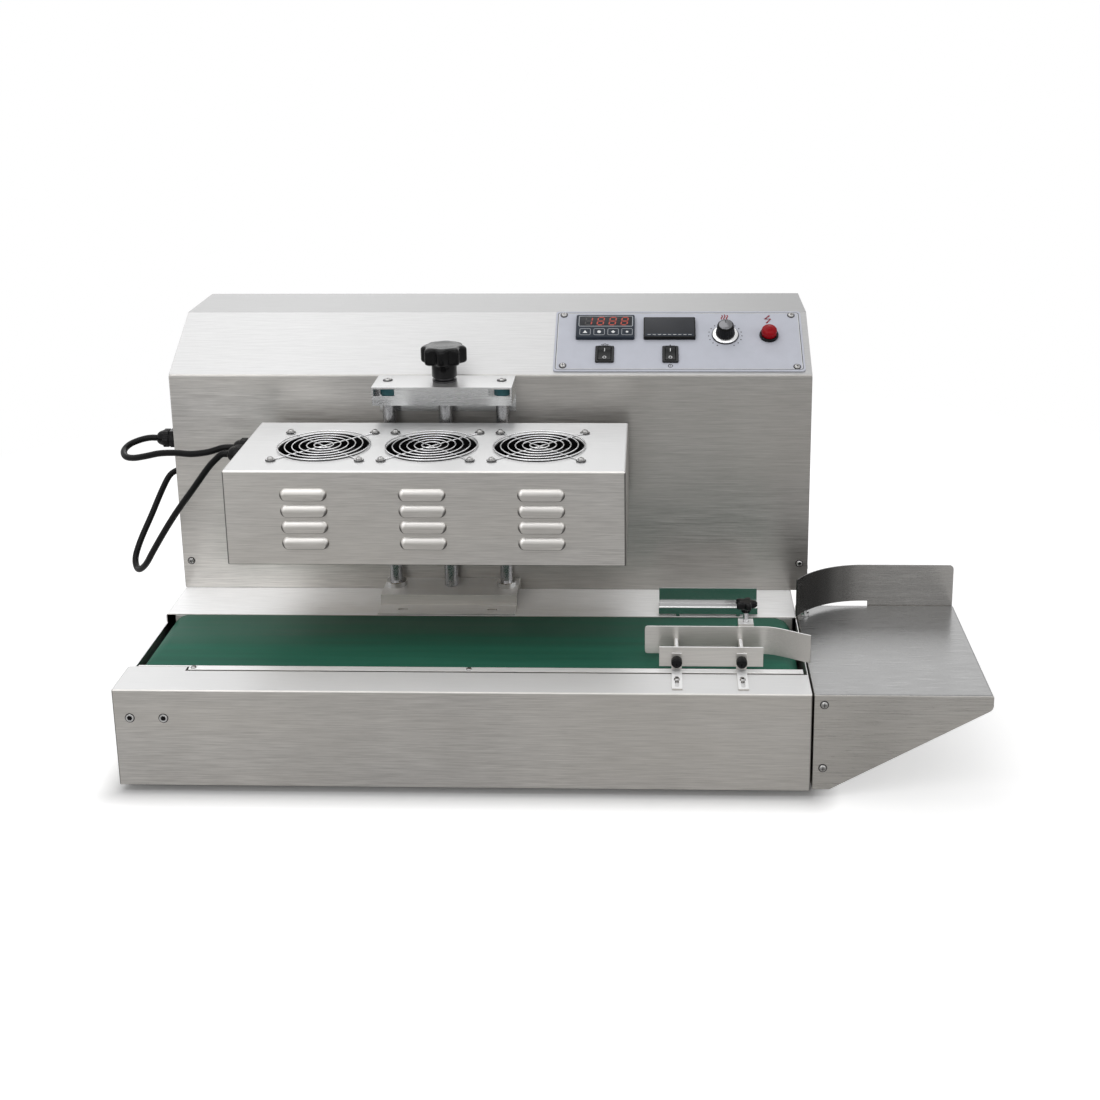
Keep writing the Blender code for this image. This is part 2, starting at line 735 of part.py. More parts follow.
def make_outfeed():
    """The outfeed table with its tapered sides, and the curved guard that steers bottles off it."""
    start = base_right + table_gap
    rear = front + table_depth
    low = foot_height + 2 * mm
    outline = rounded_outline(
        [
            (start, deck_z, 0),
            (right, deck_z, 0),
            (right, deck_z - table_lip, table_corner_radius),
            (start + table_foot_length, low, 2 * mm),
            (start, low, 0),
        ]
    )
    bm = prism_mesh(outline, "Y", front, rear)
    near_top = deck_z - sheet / 9
    bevel_edges(bm, lambda a, b: min(a.z, b.z) > near_top and max(a.x, b.x) > start + sheet, fold_radius)
    table = add_object("outfeed_table", bm, "stainless")
    reach = 30 * mm
    inner = [
        (start + sheet, deck_z - sheet),
        (right - sheet, deck_z - sheet),
        (right - sheet, deck_z - table_lip),
        (right - sheet, deck_z - table_lip - reach),
        (start + table_foot_length + reach, low - reach),
        (start + sheet, low - reach),
    ]
    hollow = prism("cutter", inner, "Y", front + sheet, rear - sheet, "steel")
    combine(table, [hollow])
    pads = []
    for y in (front + table_pad, rear - 2 * table_pad):
        low = (base_right + clearance, y, foot_height + table_pad)
        pads.append(box("pad", low, (start + sheet / 2, y + table_pad, foot_height + 2 * table_pad), "stainless"))
    combine(table, pads, "UNION")

    guard_face = rear + clearance
    centre = (guard_straight_start, guard_face - guard_radius)
    first = math.acos((start - 2 * mm - centre[0]) / guard_radius)
    turns = 10
    path = [(right - guard_end_inset, guard_face)]
    for k in range(turns + 1):
        angle = math.pi / 2 + (first - math.pi / 2) * k / turns
        along = guard_radius * Vector((math.cos(angle), math.sin(angle)))
        path.append((centre[0] + along.x, centre[1] + along.y))
    outline = thicken(path[::-1], sheet)
    top = deck_z + guard_height
    bm = prism_mesh(outline, "Z", deck_z - guard_skirt, top)
    end = right - guard_end_inset - sheet / 9
    near_top = top - sheet / 9
    bevel_edges(bm, lambda a, b: min(a.x, b.x) > end and min(a.z, b.z) > near_top, 6 * mm, 3)
    guard = add_object("guard_plate", bm, "stainless_dark")
    notch = block(
        (start - 20 * mm, guard_face - guard_radius - 20 * mm, deck_z - guard_skirt - 5 * mm),
        (guard_straight_start + 6 * mm, guard_face + 10 * mm, deck_z + guard_lift),
    )
    combine(guard, [notch])

    stud_x = start + 9 * mm
    stud_y = centre[1] + math.sqrt((guard_radius + sheet / 2) ** 2 - (stud_x - centre[0]) ** 2)
    profile = (
        (0, clearance),
        (hexagon(10 * mm), clearance),
        (hexagon(10 * mm), guard_lift - 2 * mm),
        (3 * mm, guard_lift - 2 * mm),
        (3 * mm, guard_lift + 2 * mm),
        (0, guard_lift + 2 * mm),
    )
    stud = turned("stud", profile, "steel", Matrix.Translation((stud_x, stud_y, deck_z)), 24)
    combine(guard, [stud], "UNION")


def make_lift():
    """The bracket, the platform, two guide rods, the lead screw with its star knob, and the carriage."""
    half = bracket_width / 2
    bracket_front = lift_back - bracket_depth
    path = [
        (bracket_front, bracket_top - bracket_drop),
        (bracket_front, bracket_top),
        (lift_back, bracket_top),
        (lift_back, bracket_top - 2 * bracket_drop),
    ]
    outline = thicken(path, -thick_sheet)
    bracket = prism("lift_bracket", outline, "X", lift_x - half, lift_x + half, "stainless")
    window_low = bracket_top - thick_sheet - 9.5 * mm
    cutters = [
        block(
            (x - 13 * mm, bracket_front - 5 * mm, window_low),
            (x + 13 * mm, bracket_front + 5 * mm, bracket_top - thick_sheet - 0.5 * mm),
        )
        for x in rod_xs
    ]
    cheeks = []
    for x in (lift_x - half, lift_x + half - thick_sheet):
        low = (x, bracket_front, bracket_top - bracket_drop)
        cheeks.append(box("cheek", low, (x + thick_sheet, lift_back, bracket_top), "stainless"))
    neck = screw_journal_radius + clearance
    collar_top = bracket_top + collar_height
    collar = (
        (0, bracket_top - thick_sheet / 2),
        (15 * mm, bracket_top - thick_sheet / 2),
        (15 * mm, bracket_top + 2 * mm),
        (12 * mm, bracket_top + 2.6 * mm),
        (12 * mm, collar_top),
        (0, collar_top),
    )
    on_axis = Matrix.Translation((lift_x, lift_y, 0))
    combine(bracket, cheeks + [turned("collar", collar, "chrome", on_axis, 20)], "UNION")
    cutters.append(hole((lift_x, lift_y, bracket_top - 10 * mm), (0, 0, 1), neck, 30 * mm))
    combine(bracket, cutters)

    foot = deck_z + clearance
    path = [
        (lift_back - bracket_depth - platform_foot, foot),
        (lift_back - bracket_depth, foot),
        (lift_back - bracket_depth, platform_top),
        (lift_back, platform_top),
        (lift_back, foot),
    ]
    inner_web = lift_back - bracket_depth + thick_sheet
    outline = [
        path[0],
        (inner_web, foot),
        (inner_web, platform_top - thick_sheet),
        (lift_back - thick_sheet, platform_top - thick_sheet),
        (lift_back - thick_sheet, foot),
        path[4],
        path[3],
        path[2],
        (path[1][0], foot + thick_sheet),
        (path[0][0], foot + thick_sheet),
    ]
    platform = prism("lift_platform", outline, "X", lift_x - half, lift_x + half, "stainless")
    cutters = [hole((lift_x, lift_y, platform_top - 10 * mm), (0, 0, 1), neck, 20 * mm)]
    slot_y = lift_back - bracket_depth - platform_foot / 2
    for x in (lift_x - 57 * mm, lift_x + 57 * mm):
        slot = racetrack(x - 4 * mm, x + 4 * mm, slot_y, 2.6 * mm, 4)
        cutters.append(prism("cutter", slot, "Z", foot - 5 * mm, foot + 8 * mm, "steel"))
    combine(platform, cutters)

    rod_low = platform_top + clearance
    rod_high = bracket_top - thick_sheet - clearance
    rod_length = rod_high - rod_low
    for side, x in zip(("left", "right"), rod_xs):
        cylinder(f"guide_rod_{side}", (x, lift_y, rod_low), (0, 0, 1), rod_radius, rod_length, "chrome")

    screw_top = bracket_top + collar_height + 30 * mm
    profile = (
        (0, platform_top - 7 * mm),
        (screw_journal_radius, platform_top - 7 * mm),
        (screw_journal_radius, rod_low),
        (screw_radius, rod_low),
        (screw_radius, rod_high),
        (screw_journal_radius, rod_high),
        (screw_journal_radius, screw_top),
        (0, screw_top),
    )
    turned("lead_screw", profile, "steel", Matrix.Translation((lift_x, lift_y, 0)), 16)
    def lobed(mean, swing):
        return lambda angle: mean + swing * math.cos(knob_lobes * angle)

    knob_low = collar_top + clearance
    head_low = knob_low + 18 * mm
    profile = (
        (0, screw_top + clearance),
        (neck, screw_top + clearance),
        (neck, knob_low),
        (15 * mm, knob_low),
        (16 * mm, knob_low + 1.5 * mm),
        (16 * mm, head_low - 3 * mm),
        (lobed(knob_radius - 4.5 * mm, 2.4 * mm), head_low + 1 * mm),
        (lobed(knob_radius - 3 * mm, 3 * mm), head_low + 4 * mm),
        (lobed(knob_radius - 3 * mm, 3 * mm), head_low + 18 * mm),
        (lobed(knob_radius - 4.5 * mm, 2.6 * mm), head_low + 21 * mm),
        (lobed(knob_radius - 8 * mm, 2 * mm), head_low + 22.5 * mm),
        (0, head_low + 22.5 * mm),
    )
    turned("star_knob", profile, "black_plastic", Matrix.Translation((lift_x, lift_y, 0)), 5 * knob_lobes)

    near = head_back + clearance
    plate = near + 4.2 * mm
    far = lift_y + carriage_block / 2 - 1 * mm
    half_block = carriage_block / 2
    outline = [(rod_xs[0] - half_block, near), (rod_xs[1] + half_block, near)]
    for x, reach in ((rod_xs[1], half_block), (lift_x, half_block + 3 * mm), (rod_xs[0], half_block)):
        if x != rod_xs[1]:
            outline.append((x + reach, plate))
        outline += [(x + reach, far), (x - reach, far)]
        if x != rod_xs[0]:
            outline.append((x - reach, plate))
    low = head_bottom + carriage_above_head_base
    carriage = prism("lift_carriage", outline, "Z", low, low + carriage_height, "aluminium")
    bores = [(x, rod_radius) for x in rod_xs] + [(lift_x, screw_radius)]
    cutters = []
    for x, radius in bores:
        start = (x, lift_y, low - 5 * mm)
        cutters.append(hole(start, (0, 0, 1), radius + clearance, carriage_height + 10 * mm))
    combine(carriage, cutters)


def make_head():
    """The sealing head: its cover with fan openings and louvres, its base, coil and ferrites."""
    low = (head_left, head_front, head_bottom)
    cover = folded_box("head_cover", low, (head_right, head_back, head_top), "stainless")
    hollow = block(
        (head_left + sheet, head_front + sheet, head_bottom - sheet),
        (head_right - sheet, head_back - sheet, head_top - sheet),
    )
    cutters = [hollow]
    for x in fan_xs:
        cutters.append(hole((x, fan_y, head_top - 8 * mm), (0, 0, 1), fan_opening_radius, 16 * mm, 32))
    for inset in head_gland_insets:
        start = (head_left - 5 * mm, head_back - inset, head_bottom + head_gland_height)
        cutters.append(hole(start, (1, 0, 0), gland_thread_radius + clearance, 12 * mm))
    combine(cover, cutters)
    hoods, openings = [], []
    for column in (-1, 0, 1):
        for row in range(louvre_rows):
            x = head_middle + louvre_shift + column * louvre_column_pitch
            z = head_top - louvre_top_drop - row * louvre_pitch
            hood, opening = louvre_parts(x, head_front, z, -1)
            hoods.append(hood)
            openings.append(opening)
    combine(cover, hoods, "UNION")
    combine(cover, openings)

    inset = sheet + clearance
    base_low = head_bottom + clearance
    base_high = base_low + head_base_thickness
    box(
        "head_base",
        (head_left + inset, head_front + inset, base_low),
        (head_right - inset, head_back - inset, base_high),
        "phenolic",
    )
    coil_y = (head_front + head_back) / 2
    reach = head_length / 2 - coil_end_inset
    outer = racetrack(head_middle - reach, head_middle + reach, coil_y, coil_radius, 10)
    inner = racetrack(head_middle - reach, head_middle + reach, coil_y, coil_eye_radius, 10)
    coil_low = base_high + clearance
    coil_high = coil_low + coil_height
    annular_prism("induction_coil", outer, inner, "Z", coil_low, coil_high, "copper")
    yoke_low = coil_high + clearance
    yoke = box(
        "ferrite_yoke",
        (head_left + yoke_end_inset, coil_y - yoke_half_width, yoke_low),
        (head_right - yoke_end_inset, coil_y + yoke_half_width, yoke_low + yoke_height),
        "ferrite",
    )
    bars = []
    for step in (-1.5, -0.5, 0.5, 1.5):
        x = head_middle + step * ferrite_pitch
        low = (x - ferrite_half_width, coil_y - ferrite_half_length, yoke_low)
        high = (x + ferrite_half_width, coil_y + ferrite_half_length, yoke_low + ferrite_height)
        bars.append(box("bar", low, high, "ferrite"))
    combine(yoke, bars, "UNION")


def fan_blade(angle):
    """One twisted blade of a fan, skinned over three sections from hub to tip."""
    loops = []
    root, tip = fan_hub_radius - 1 * mm, fan_opening_radius - fan_tip_gap
    thick = fan_thickness - 10 * mm
    for radius, first, last, low, high in (
        (root, 0, 34, thick / 5, thick),
        ((root + tip) / 2, 6, 36, thick * 4 / 15, thick * 14 / 15),
        (tip, 10, 38, thick * 5.5 / 15, thick * 13 / 15),
    ):
        ends = (angle + math.radians(first), angle + math.radians(last))
        half = 0.8 * mm
        corners = ((0, low - half), (1, high - half), (1, high + half), (0, low + half))
        loops.append([(radius * math.cos(ends[i]), radius * math.sin(ends[i]), z) for i, z in corners])
    return add_object("blade", skin(loops), "black_plastic")


def make_fans():
    """Three cooling fans under the head's top, each with a frame, a rotor and a wire guard."""
    half = fan_size / 2
    square = [(-half, -half, 4 * mm), (half, -half, 4 * mm), (half, half, 4 * mm), (-half, half, 4 * mm)]
    frame_top = head_top - sheet - clearance
    frame_low = frame_top - fan_thickness
    frame = prism("fan_frame_left", rounded_outline(square, 3), "Z", 0, fan_thickness, "black_plastic")
    combine(frame, [hole((0, 0, -5 * mm), (0, 0, 1), fan_opening_radius, fan_thickness + 10 * mm, 28)])
    spider = 3 * mm
    pin = 1.5 * mm
    hub = fan_hub_radius
    profile = ((0, 0), (hub, 0), (hub, spider), (pin, spider), (pin, 3 * spider), (0, 3 * spider))
    motor_plate = turned("plate", profile, "black_plastic", None, 16)
    reach = fan_opening_radius + 2 * mm
    spokes = []
    for turn in (math.radians(20), math.radians(110)):
        place = Matrix.Rotation(turn, 4, "Z")
        spokes.append(box("spoke", (-reach, -2 * mm, 0), (reach, 2 * mm, spider), "black_plastic", place))
    combine(frame, [motor_plate, *spokes], "UNION")

    rotor_low = spider + clearance
    bore = pin + clearance
    profile = (
        (0, 8 * mm),
        (bore, 8 * mm),
        (bore, 0),
        (hub, 0),
        (hub, fan_thickness - 9 * mm),
        (hub - 2 * mm, fan_thickness - 7 * mm),
        (0, fan_thickness - 7 * mm),
    )
    rotor = turned("fan_rotor_left", profile, "black_plastic", None, 20)
    combine(rotor, [fan_blade(2 * math.pi * k / 7) for k in range(7)], "UNION")

    wire = guard_wire
    low = clearance + wire
    ring_z = low + 1.4 * wire
    corner = fan_screw_pitch / 2
    reach = corner * math.sqrt(2) - 4 * mm
    thirds = (math.pi / 2, -math.pi / 6, -5 * math.pi / 6)
    section = [1.2 * wire * Vector((math.cos(angle), math.sin(angle))) for angle in thirds]

    def straight_wire(turn):
        loops = [[(x, offset.x, low + offset.y) for offset in section] for x in (-reach, reach)]
        return add_object("wire", skin(loops), "chrome", Matrix.Rotation(turn, 4, "Z"))

    def round_wire(x, y, z, radius, segments):
        ring = [(radius + offset.x, z + offset.y) for offset in section]
        half_step = Matrix.Rotation(math.pi / segments, 4, "Z")
        return turned("wire", ring, "chrome", Matrix.Translation((x, y, 0)) @ half_step, segments, ring=True)

    guard = straight_wire(math.pi / 4)
    guard.name = "fan_guard_left"
    others = [straight_wire(-math.pi / 4)]
    for k in range(guard_ring_count):
        radius = guard_outer_radius - k * guard_ring_step
        others.append(round_wire(0, 0, ring_z, radius, 24 if k < 4 else 16))
    for sx in (-1, 1):
        for sy in (-1, 1):
            others.append(round_wire(sx * corner, sy * corner, low, 4.4 * mm, 8))
    combine(guard, others, "UNION")

    for side, x in zip(fan_names, fan_xs):
        places = {
            "fan_frame": Matrix.Translation((x, fan_y, frame_low)),
            "fan_rotor": Matrix.Translation((x, fan_y, frame_low + rotor_low)),
            "fan_guard": Matrix.Translation((x, fan_y, head_top)),
        }
        for kind, source in (("fan_frame", frame), ("fan_rotor", rotor), ("fan_guard", guard)):
            if side == fan_names[0]:
                source.data.transform(source.matrix_world)
                source.matrix_world = places[kind]
            else:
                copy_object(f"{kind}_{side}", source, places[kind])


def rounded_rectangle(size, radius, centre=(0.0, 0.0)):
    """A rectangle with round corners, about a centre."""
    u, v = size[0] / 2, size[1] / 2
    corners = [(-u, -v), (u, -v), (u, v), (-u, v)]
    return rounded_outline([(centre[0] + x, centre[1] + y, radius) for x, y in corners], 3)


def centred_block(centre, size, low, high):
    """A cutter on the slope, about a point of the control panel."""
    return block(
        (centre[0] - size[0] / 2, centre[1] - size[1] / 2, low),
        (centre[0] + size[0] / 2, centre[1] + size[1] / 2, high),
        on_slope(0, 0),
    )


def make_panel():
    """The control panel plate with its instruments, switches, dial and button."""
    low = clearance
    high = low + panel_thickness
    size = (panel_length, panel_height)
    centre = (panel_length / 2, panel_start + panel_height / 2)
    outline = rounded_rectangle(size, 4 * mm, centre)
    plate = prism("control_panel", outline, "Z", low, high, "panel_grey", on_slope(0, 0))
    margin = 2 * clearance
    cutters = []
    rocker_bodies = {name: (wide + 3 * mm, long + 2 * mm) for name, (wide, long) in rocker_pockets.items()}
    fitted = [(meter_centre, meter_body), (display_centre, display_body)]
    fitted += [(centre, rocker_bodies[name]) for name, centre in rocker_centres.items()]
    for middle, body in fitted:
        opening = (body[0] + margin, body[1] + margin)
        cutters.append(centred_block(middle, opening, low - 5 * mm, high + 5 * mm))
    for (x, along), radius in ((dial_centre, 3.5 * mm), (button_centre, 8 * mm)):
        place = on_slope(x, along, low - 5 * mm)
        profile = ((0, 0), (radius + clearance, 0), (radius + clearance, 15 * mm), (0, 15 * mm))
        cutters.append(turned("cutter", profile, "steel", place))
    combine(plate, cutters)

    seat = high + clearance
    for name, middle, face, body, depth in (
        ("temperature_meter", meter_centre, meter_size, meter_body, 60 * mm),
        ("timer_display", display_centre, display_size, display_body, 40 * mm),
    ):
        bezel = prism_mesh(rounded_rectangle(face, 2 * mm, middle), "Z", seat, seat + bezel_height)
        top = seat + bezel_height - sheet / 9
        bevel_edges(bezel, lambda a, b, top=top: min(a.z, b.z) > top, 0.8 * mm, 1)
        unit = add_object(name, bezel, "slate_plastic", on_slope(0, 0))
        combine(unit, [centred_block(middle, body, -depth, seat + bezel_height / 2)], "UNION")
        if name == "temperature_meter":
            place = (middle[0] + 0.5 * mm, meter_window_row)
            combine(unit, [centred_block(place, meter_window, seat + 4.2 * mm, seat + 9 * mm)])

    pivot = seat + rocker_bezel - 2.4 * mm
    for name, middle in rocker_centres.items():
        pocket = rocker_pockets[name]
        outline = rounded_rectangle(rocker_frames[name], 2 * mm, middle)
        top = seat + rocker_bezel
        frame = prism(f"{name}_switch_frame", outline, "Z", seat, top, "black_plastic", on_slope(0, 0))
        body = centred_block(middle, rocker_bodies[name], -20 * mm, seat + rocker_bezel / 2)
        combine(frame, [body], "UNION")
        combine(frame, [centred_block(middle, pocket, pivot - 6 * mm, seat + 10 * mm)])
        rim = math.radians(26)
        foot = math.radians(-12)
        turns = (foot, 0, rim / 2, rim)
        right_side = [(rocker_radius * math.cos(turn), rocker_radius * math.sin(turn)) for turn in turns]
        profile = right_side + [(0, 3 * mm)] + [(-u, v) for u, v in right_side[::-1]]
        half = pocket[0] / 2 - clearance
        turn = Matrix.Rotation(rocker_tilt, 4, "X")
        prism(f"{name}_rocker", profile, "X", -half, half, "black_plastic", on_slope(*middle, pivot) @ turn)

    place = on_slope(*dial_centre)
    body_top = clearance / 2
    turned(
        "speed_potentiometer",
        (
            (0, -22 * mm),
            (8 * mm, -22 * mm),
            (8 * mm, -body_top),
            (3 * mm, -body_top),
            (3 * mm, seat + 12 * mm),
            (0, seat + 12 * mm),
        ),
        "steel",
        place,
        16,
    )
    bore = 3 * mm + clearance
    skirt_top = seat + 3.4 * mm
    dial_top = seat + dial_height
    turned(
        "speed_dial",
        (
            (0, seat + 12 * mm + clearance),
            (bore, seat + 12 * mm + clearance),
            (bore, seat + 1 * mm),
            (bore + 0.5 * mm, seat),
            (dial_skirt_radius, seat),
            (dial_skirt_radius, seat + 1.2 * mm),
            (dial_grip_radius + 1.5 * mm, skirt_top),
            (dial_grip_radius, skirt_top),
            (dial_grip_radius - 1 * mm, dial_top - 1.2 * mm),
            (dial_grip_radius - 2 * mm, dial_top),
            (dial_cap_radius, dial_top),
            (dial_cap_radius - 0.8 * mm, dial_top + 0.5 * mm),
            (0, dial_top + 0.5 * mm),
        ),
        "black_plastic",
        place,
        24,
    )

    place = on_slope(*button_centre)
    bore = button_radius - 3 * mm
    collar_top = seat + 4 * mm
    turned(
        "seal_button_collar",
        (
            (bore, -18 * mm),
            (8 * mm, -18 * mm),
            (8 * mm, seat),
            (button_collar_radius, seat),
            (button_collar_radius, collar_top - 1 * mm),
            (button_collar_radius - 1 * mm, collar_top),
            (button_radius + clearance, collar_top),
            (button_radius + clearance, seat + 0.4 * mm),
            (bore, seat + 0.4 * mm),
        ),
        "black_plastic",
        place,
        20,
        ring=True,
    )
    button_low = seat + 0.4 * mm + clearance + button_travel
    button_top = collar_top + button_height
    turned(
        "seal_button",
        (
            (0, -10 * mm),
            (bore - clearance, -10 * mm),
            (bore - clearance, button_low),
            (button_radius, button_low),
            (button_radius, button_top - 5 * mm),
            (button_radius - 0.8 * mm, button_top - 2.6 * mm),
            (button_radius - 2.6 * mm, button_top - 0.8 * mm),
            (button_radius - 5 * mm, button_top),
            (0, button_top),
        ),
        "red_plastic",
        place,
        20,
    )


def make_guides():
    """The adjustable front guide on its slotted stands, and the fixed rear guide on the rear deck."""
    foot = deck_z + clearance
    upright = guide_sheet_y - 27 * mm
    plate_y = (upright + clearance, upright + clearance + thick_sheet)
    stand_xs = (guide_x - guide_stand_spacing / 2, guide_x + guide_stand_spacing / 2)
    thumb_z = foot + guide_stand_height - 9 * mm
    screw_y = front + 30 * mm
    for side, x in zip(("left", "right"), stand_xs):
        path = [(upright - guide_foot_length, foot), (upright, foot), (upright, foot + guide_stand_height)]
        half = guide_stand_width / 2
        stand = prism(f"guide_stand_{side}", thicken(path, thick_sheet), "X", x - half, x + half, "stainless")
        slot = [(v, u) for u, v in racetrack(screw_y - 16 * mm, screw_y + 6 * mm, x, 2.3 * mm, 4)]
        slot = prism("cutter", slot, "Z", foot - 5 * mm, foot + 8 * mm, "steel")
        thumb_hole = hole((x, upright - 8 * mm, thumb_z), (0, 1, 0), 2.3 * mm, 16 * mm, 16)
        combine(stand, [slot, thumb_hole])
        face = upright - thick_sheet - clearance
        profile = (
            (0, -7 * mm),
            (2 * mm, -7 * mm),
            (2 * mm, 0),
            (6.2 * mm, 0),
            (6.2 * mm, 7.5 * mm),
            (5 * mm, 9 * mm),
            (0, 9 * mm),
        )
        place = along_axis((x, face, thumb_z), (0, -1, 0))
        turned(f"guide_thumb_screw_{side}", profile, "black_plastic", place, 16)

    plate_low = deck_z + guide_lift
    half = guide_plate_length / 2
    middle = guide_x + 2.5 * mm
    plate_top = plate_low + guide_plate_height
    plate_start = (middle - half, plate_y[0], plate_low)
    plate = box("guide_carrier", plate_start, (middle + half, plate_y[1], plate_top), "stainless")
    holes = [(x, plate_y[0] - 5 * mm, thumb_z) for x in stand_xs]
    combine(plate, [hole(start, (0, 1, 0), 2.3 * mm, 12 * mm, 16) for start in holes])

    turns = 8
    path = [(guide_sheet_start, guide_sheet_y), (guide_sheet_bend, guide_sheet_y)]
    for k in range(1, turns + 1):
        share = k / turns
        x = guide_sheet_bend + (guide_sheet_end - guide_sheet_bend) * share
        path.append((x, guide_sheet_y - guide_flare * (2 * share**2 - share**3)))
    low = deck_z + guide_sheet_lift
    bm = prism_mesh(thicken(path, sheet), "Z", low, low + guide_sheet_height)
    free_end = guide_sheet_start + sheet / 9
    bevel_edges(bm, lambda a, b: max(a.x, b.x) < free_end and abs(a.z - b.z) < sheet / 9, 3 * mm)
    guide = add_object("guide_sheet", bm, "stainless")
    spacer_z = plate_top - 4 * mm
    start = plate_y[1] - thick_sheet / 2
    length = guide_sheet_y - clearance - start
    spacers = []
    for x in stand_xs:
        spacers.append(cylinder("spacer", (x, start, spacer_z), (0, 1, 0), 3 * mm, length, "chrome", 16))
    combine(plate, spacers, "UNION")

    clamp_x = stand_xs[1] + 6.5 * mm
    near = guide_sheet_y + sheet / 2
    clamp_top = low + guide_sheet_height + 3 * mm
    block_low = (clamp_x - 9 * mm, near, clamp_top - 26 * mm)
    clamp = box("clamp", block_low, (clamp_x + 9 * mm, near + 15 * mm, clamp_top), "steel")
    combine(guide, [clamp], "UNION")
    post_y = near + 8 * mm
    combine(guide, [hole((clamp_x, post_y, clamp_top - 22 * mm), (0, 0, 1), 3 * mm + clearance, 30 * mm, 20)])
    knob_low = clamp_top + 12 * mm
    profile = (
        (0, clamp_top - 22 * mm + clearance),
        (3 * mm, clamp_top - 22 * mm + clearance),
        (3 * mm, knob_low),
        (5.5 * mm, knob_low),
        (5.5 * mm, knob_low + 3 * mm),
        (lambda angle: (9 + 2 * math.cos(5 * angle)) * mm, knob_low + 6 * mm),
        (lambda angle: (11 + 2.6 * math.cos(5 * angle)) * mm, knob_low + 9 * mm),
        (lambda angle: (11 + 2.6 * math.cos(5 * angle)) * mm, knob_low + 12 * mm),
        (lambda angle: (9.5 + 2.2 * math.cos(5 * angle)) * mm, knob_low + 14 * mm),
        (0, knob_low + 14 * mm),
    )
    turned("guide_star_knob", profile, "black_plastic", Matrix.Translation((clamp_x, post_y, 0)), 20)

    bar_low = deck_z + rear_bar_lift
    bar_front = slot_back - 1 * mm
    half = rear_guide_length / 2
    bar_x = guide_x + 4 * mm
    outline = rounded_outline(
        [
            (bar_front, bar_low, 0),
            (bar_front + rear_bar_depth, bar_low, 0),
            (bar_front + rear_bar_depth, bar_low + rear_bar_height, 0),
            (bar_front, bar_low + rear_bar_height, 2 * mm),
        ]
    )
    guide = prism("rear_guide", outline, "X", bar_x - half, bar_x + half, "stainless")
    plate_start = bar_front + rear_bar_depth - sheet / 2
    parts = [
        box(
            "plate",
            (bar_x - half + 0.5 * mm, plate_start, bar_low + 0.5 * mm),
            (bar_x + half - 0.5 * mm, plate_start + 2 * sheet, bar_low + rear_plate_height),
            "stainless",
        )
    ]
    for x in (bar_x - half + 24 * mm, bar_x + half - 24 * mm):
        start = (x, bar_front + rear_bar_depth / 2, foot)
        parts.append(cylinder("spacer", start, (0, 0, 1), 4.5 * mm, rear_bar_lift + 1 * mm, "steel", 16))
    combine(guide, parts, "UNION")


def gland(name, root, finish="black_plastic"):
    """A cable gland on a wall that faces -X, with its thread through the wall."""
    nut = hexagon(gland_flats)
    profile = (
        (0, -8 * mm),
        (gland_thread_radius, -8 * mm),
        (gland_thread_radius, clearance),
        (nut, clearance),
        (nut, 9 * mm),
        (10.2 * mm, 9 * mm),
        (10.2 * mm, 11 * mm),
        (hexagon(gland_flats - 1 * mm), 11 * mm),
        (hexagon(gland_flats - 1 * mm), 19 * mm),
        (9.6 * mm, 21 * mm),
        (6.4 * mm, gland_length),
        (0, gland_length),
    )
    return turned(name, profile, finish, along_axis(root, (-1, 0, 0)), 12)


def smooth_route(points, spacing):
    """Evenly spaced points along a smooth curve through the given ones."""
    points = [Vector(point) * mm for point in points]
    ends = [points[0] * 2 - points[1], *points, points[-1] * 2 - points[-2]]
    fine = []
    for i in range(1, len(ends) - 2):
        before, start, stop, after = ends[i - 1 : i + 3]
        for k in range(12):
            t = k / 12
            fine.append(
                0.5
                * (
                    2 * start
                    + (stop - before) * t
                    + (2 * before - 5 * start + 4 * stop - after) * t**2
                    + (3 * start - before - 3 * stop + after) * t**3
                )
            )
    fine.append(points[-1])
    lengths = [0.0]
    for first, second in zip(fine, fine[1:]):
        lengths.append(lengths[-1] + (second - first).length)
    count = max(round(lengths[-1] / spacing), 2)
    route = []
    for k in range(count + 1):
        want = lengths[-1] * k / count
        i = next((j for j in range(1, len(fine)) if lengths[j] >= want - 1e-9), len(fine) - 1)
        share = (want - lengths[i - 1]) / (lengths[i] - lengths[i - 1])
        route.append(fine[i - 1].lerp(fine[i], share))
    straight = spacing / 5
    route.insert(1, points[0] + (points[1] - points[0]).normalized() * straight)
    route.insert(-1, points[-1] + (points[-2] - points[-1]).normalized() * straight)
    return route


def cable(name, points):
    """A round cable along a route, as a curve with filled ends."""
    route = smooth_route(points, 2.2 * 2 * cable_radius)
    curve = bpy.data.curves.new(name, "CURVE")
    curve.dimensions = "3D"
    curve.bevel_depth = cable_radius
    curve.bevel_resolution = 3
    curve.use_fill_caps = True
    spline = curve.splines.new("POLY")
    spline.points.add(len(route) - 1)
    for point, place in zip(spline.points, route):
        point.co = (*place, 1)
    curve.materials.append(finish_material("black_rubber"))
    thing = bpy.data.objects.new(name, curve)
    bpy.context.scene.collection.objects.link(thing)
    return thing


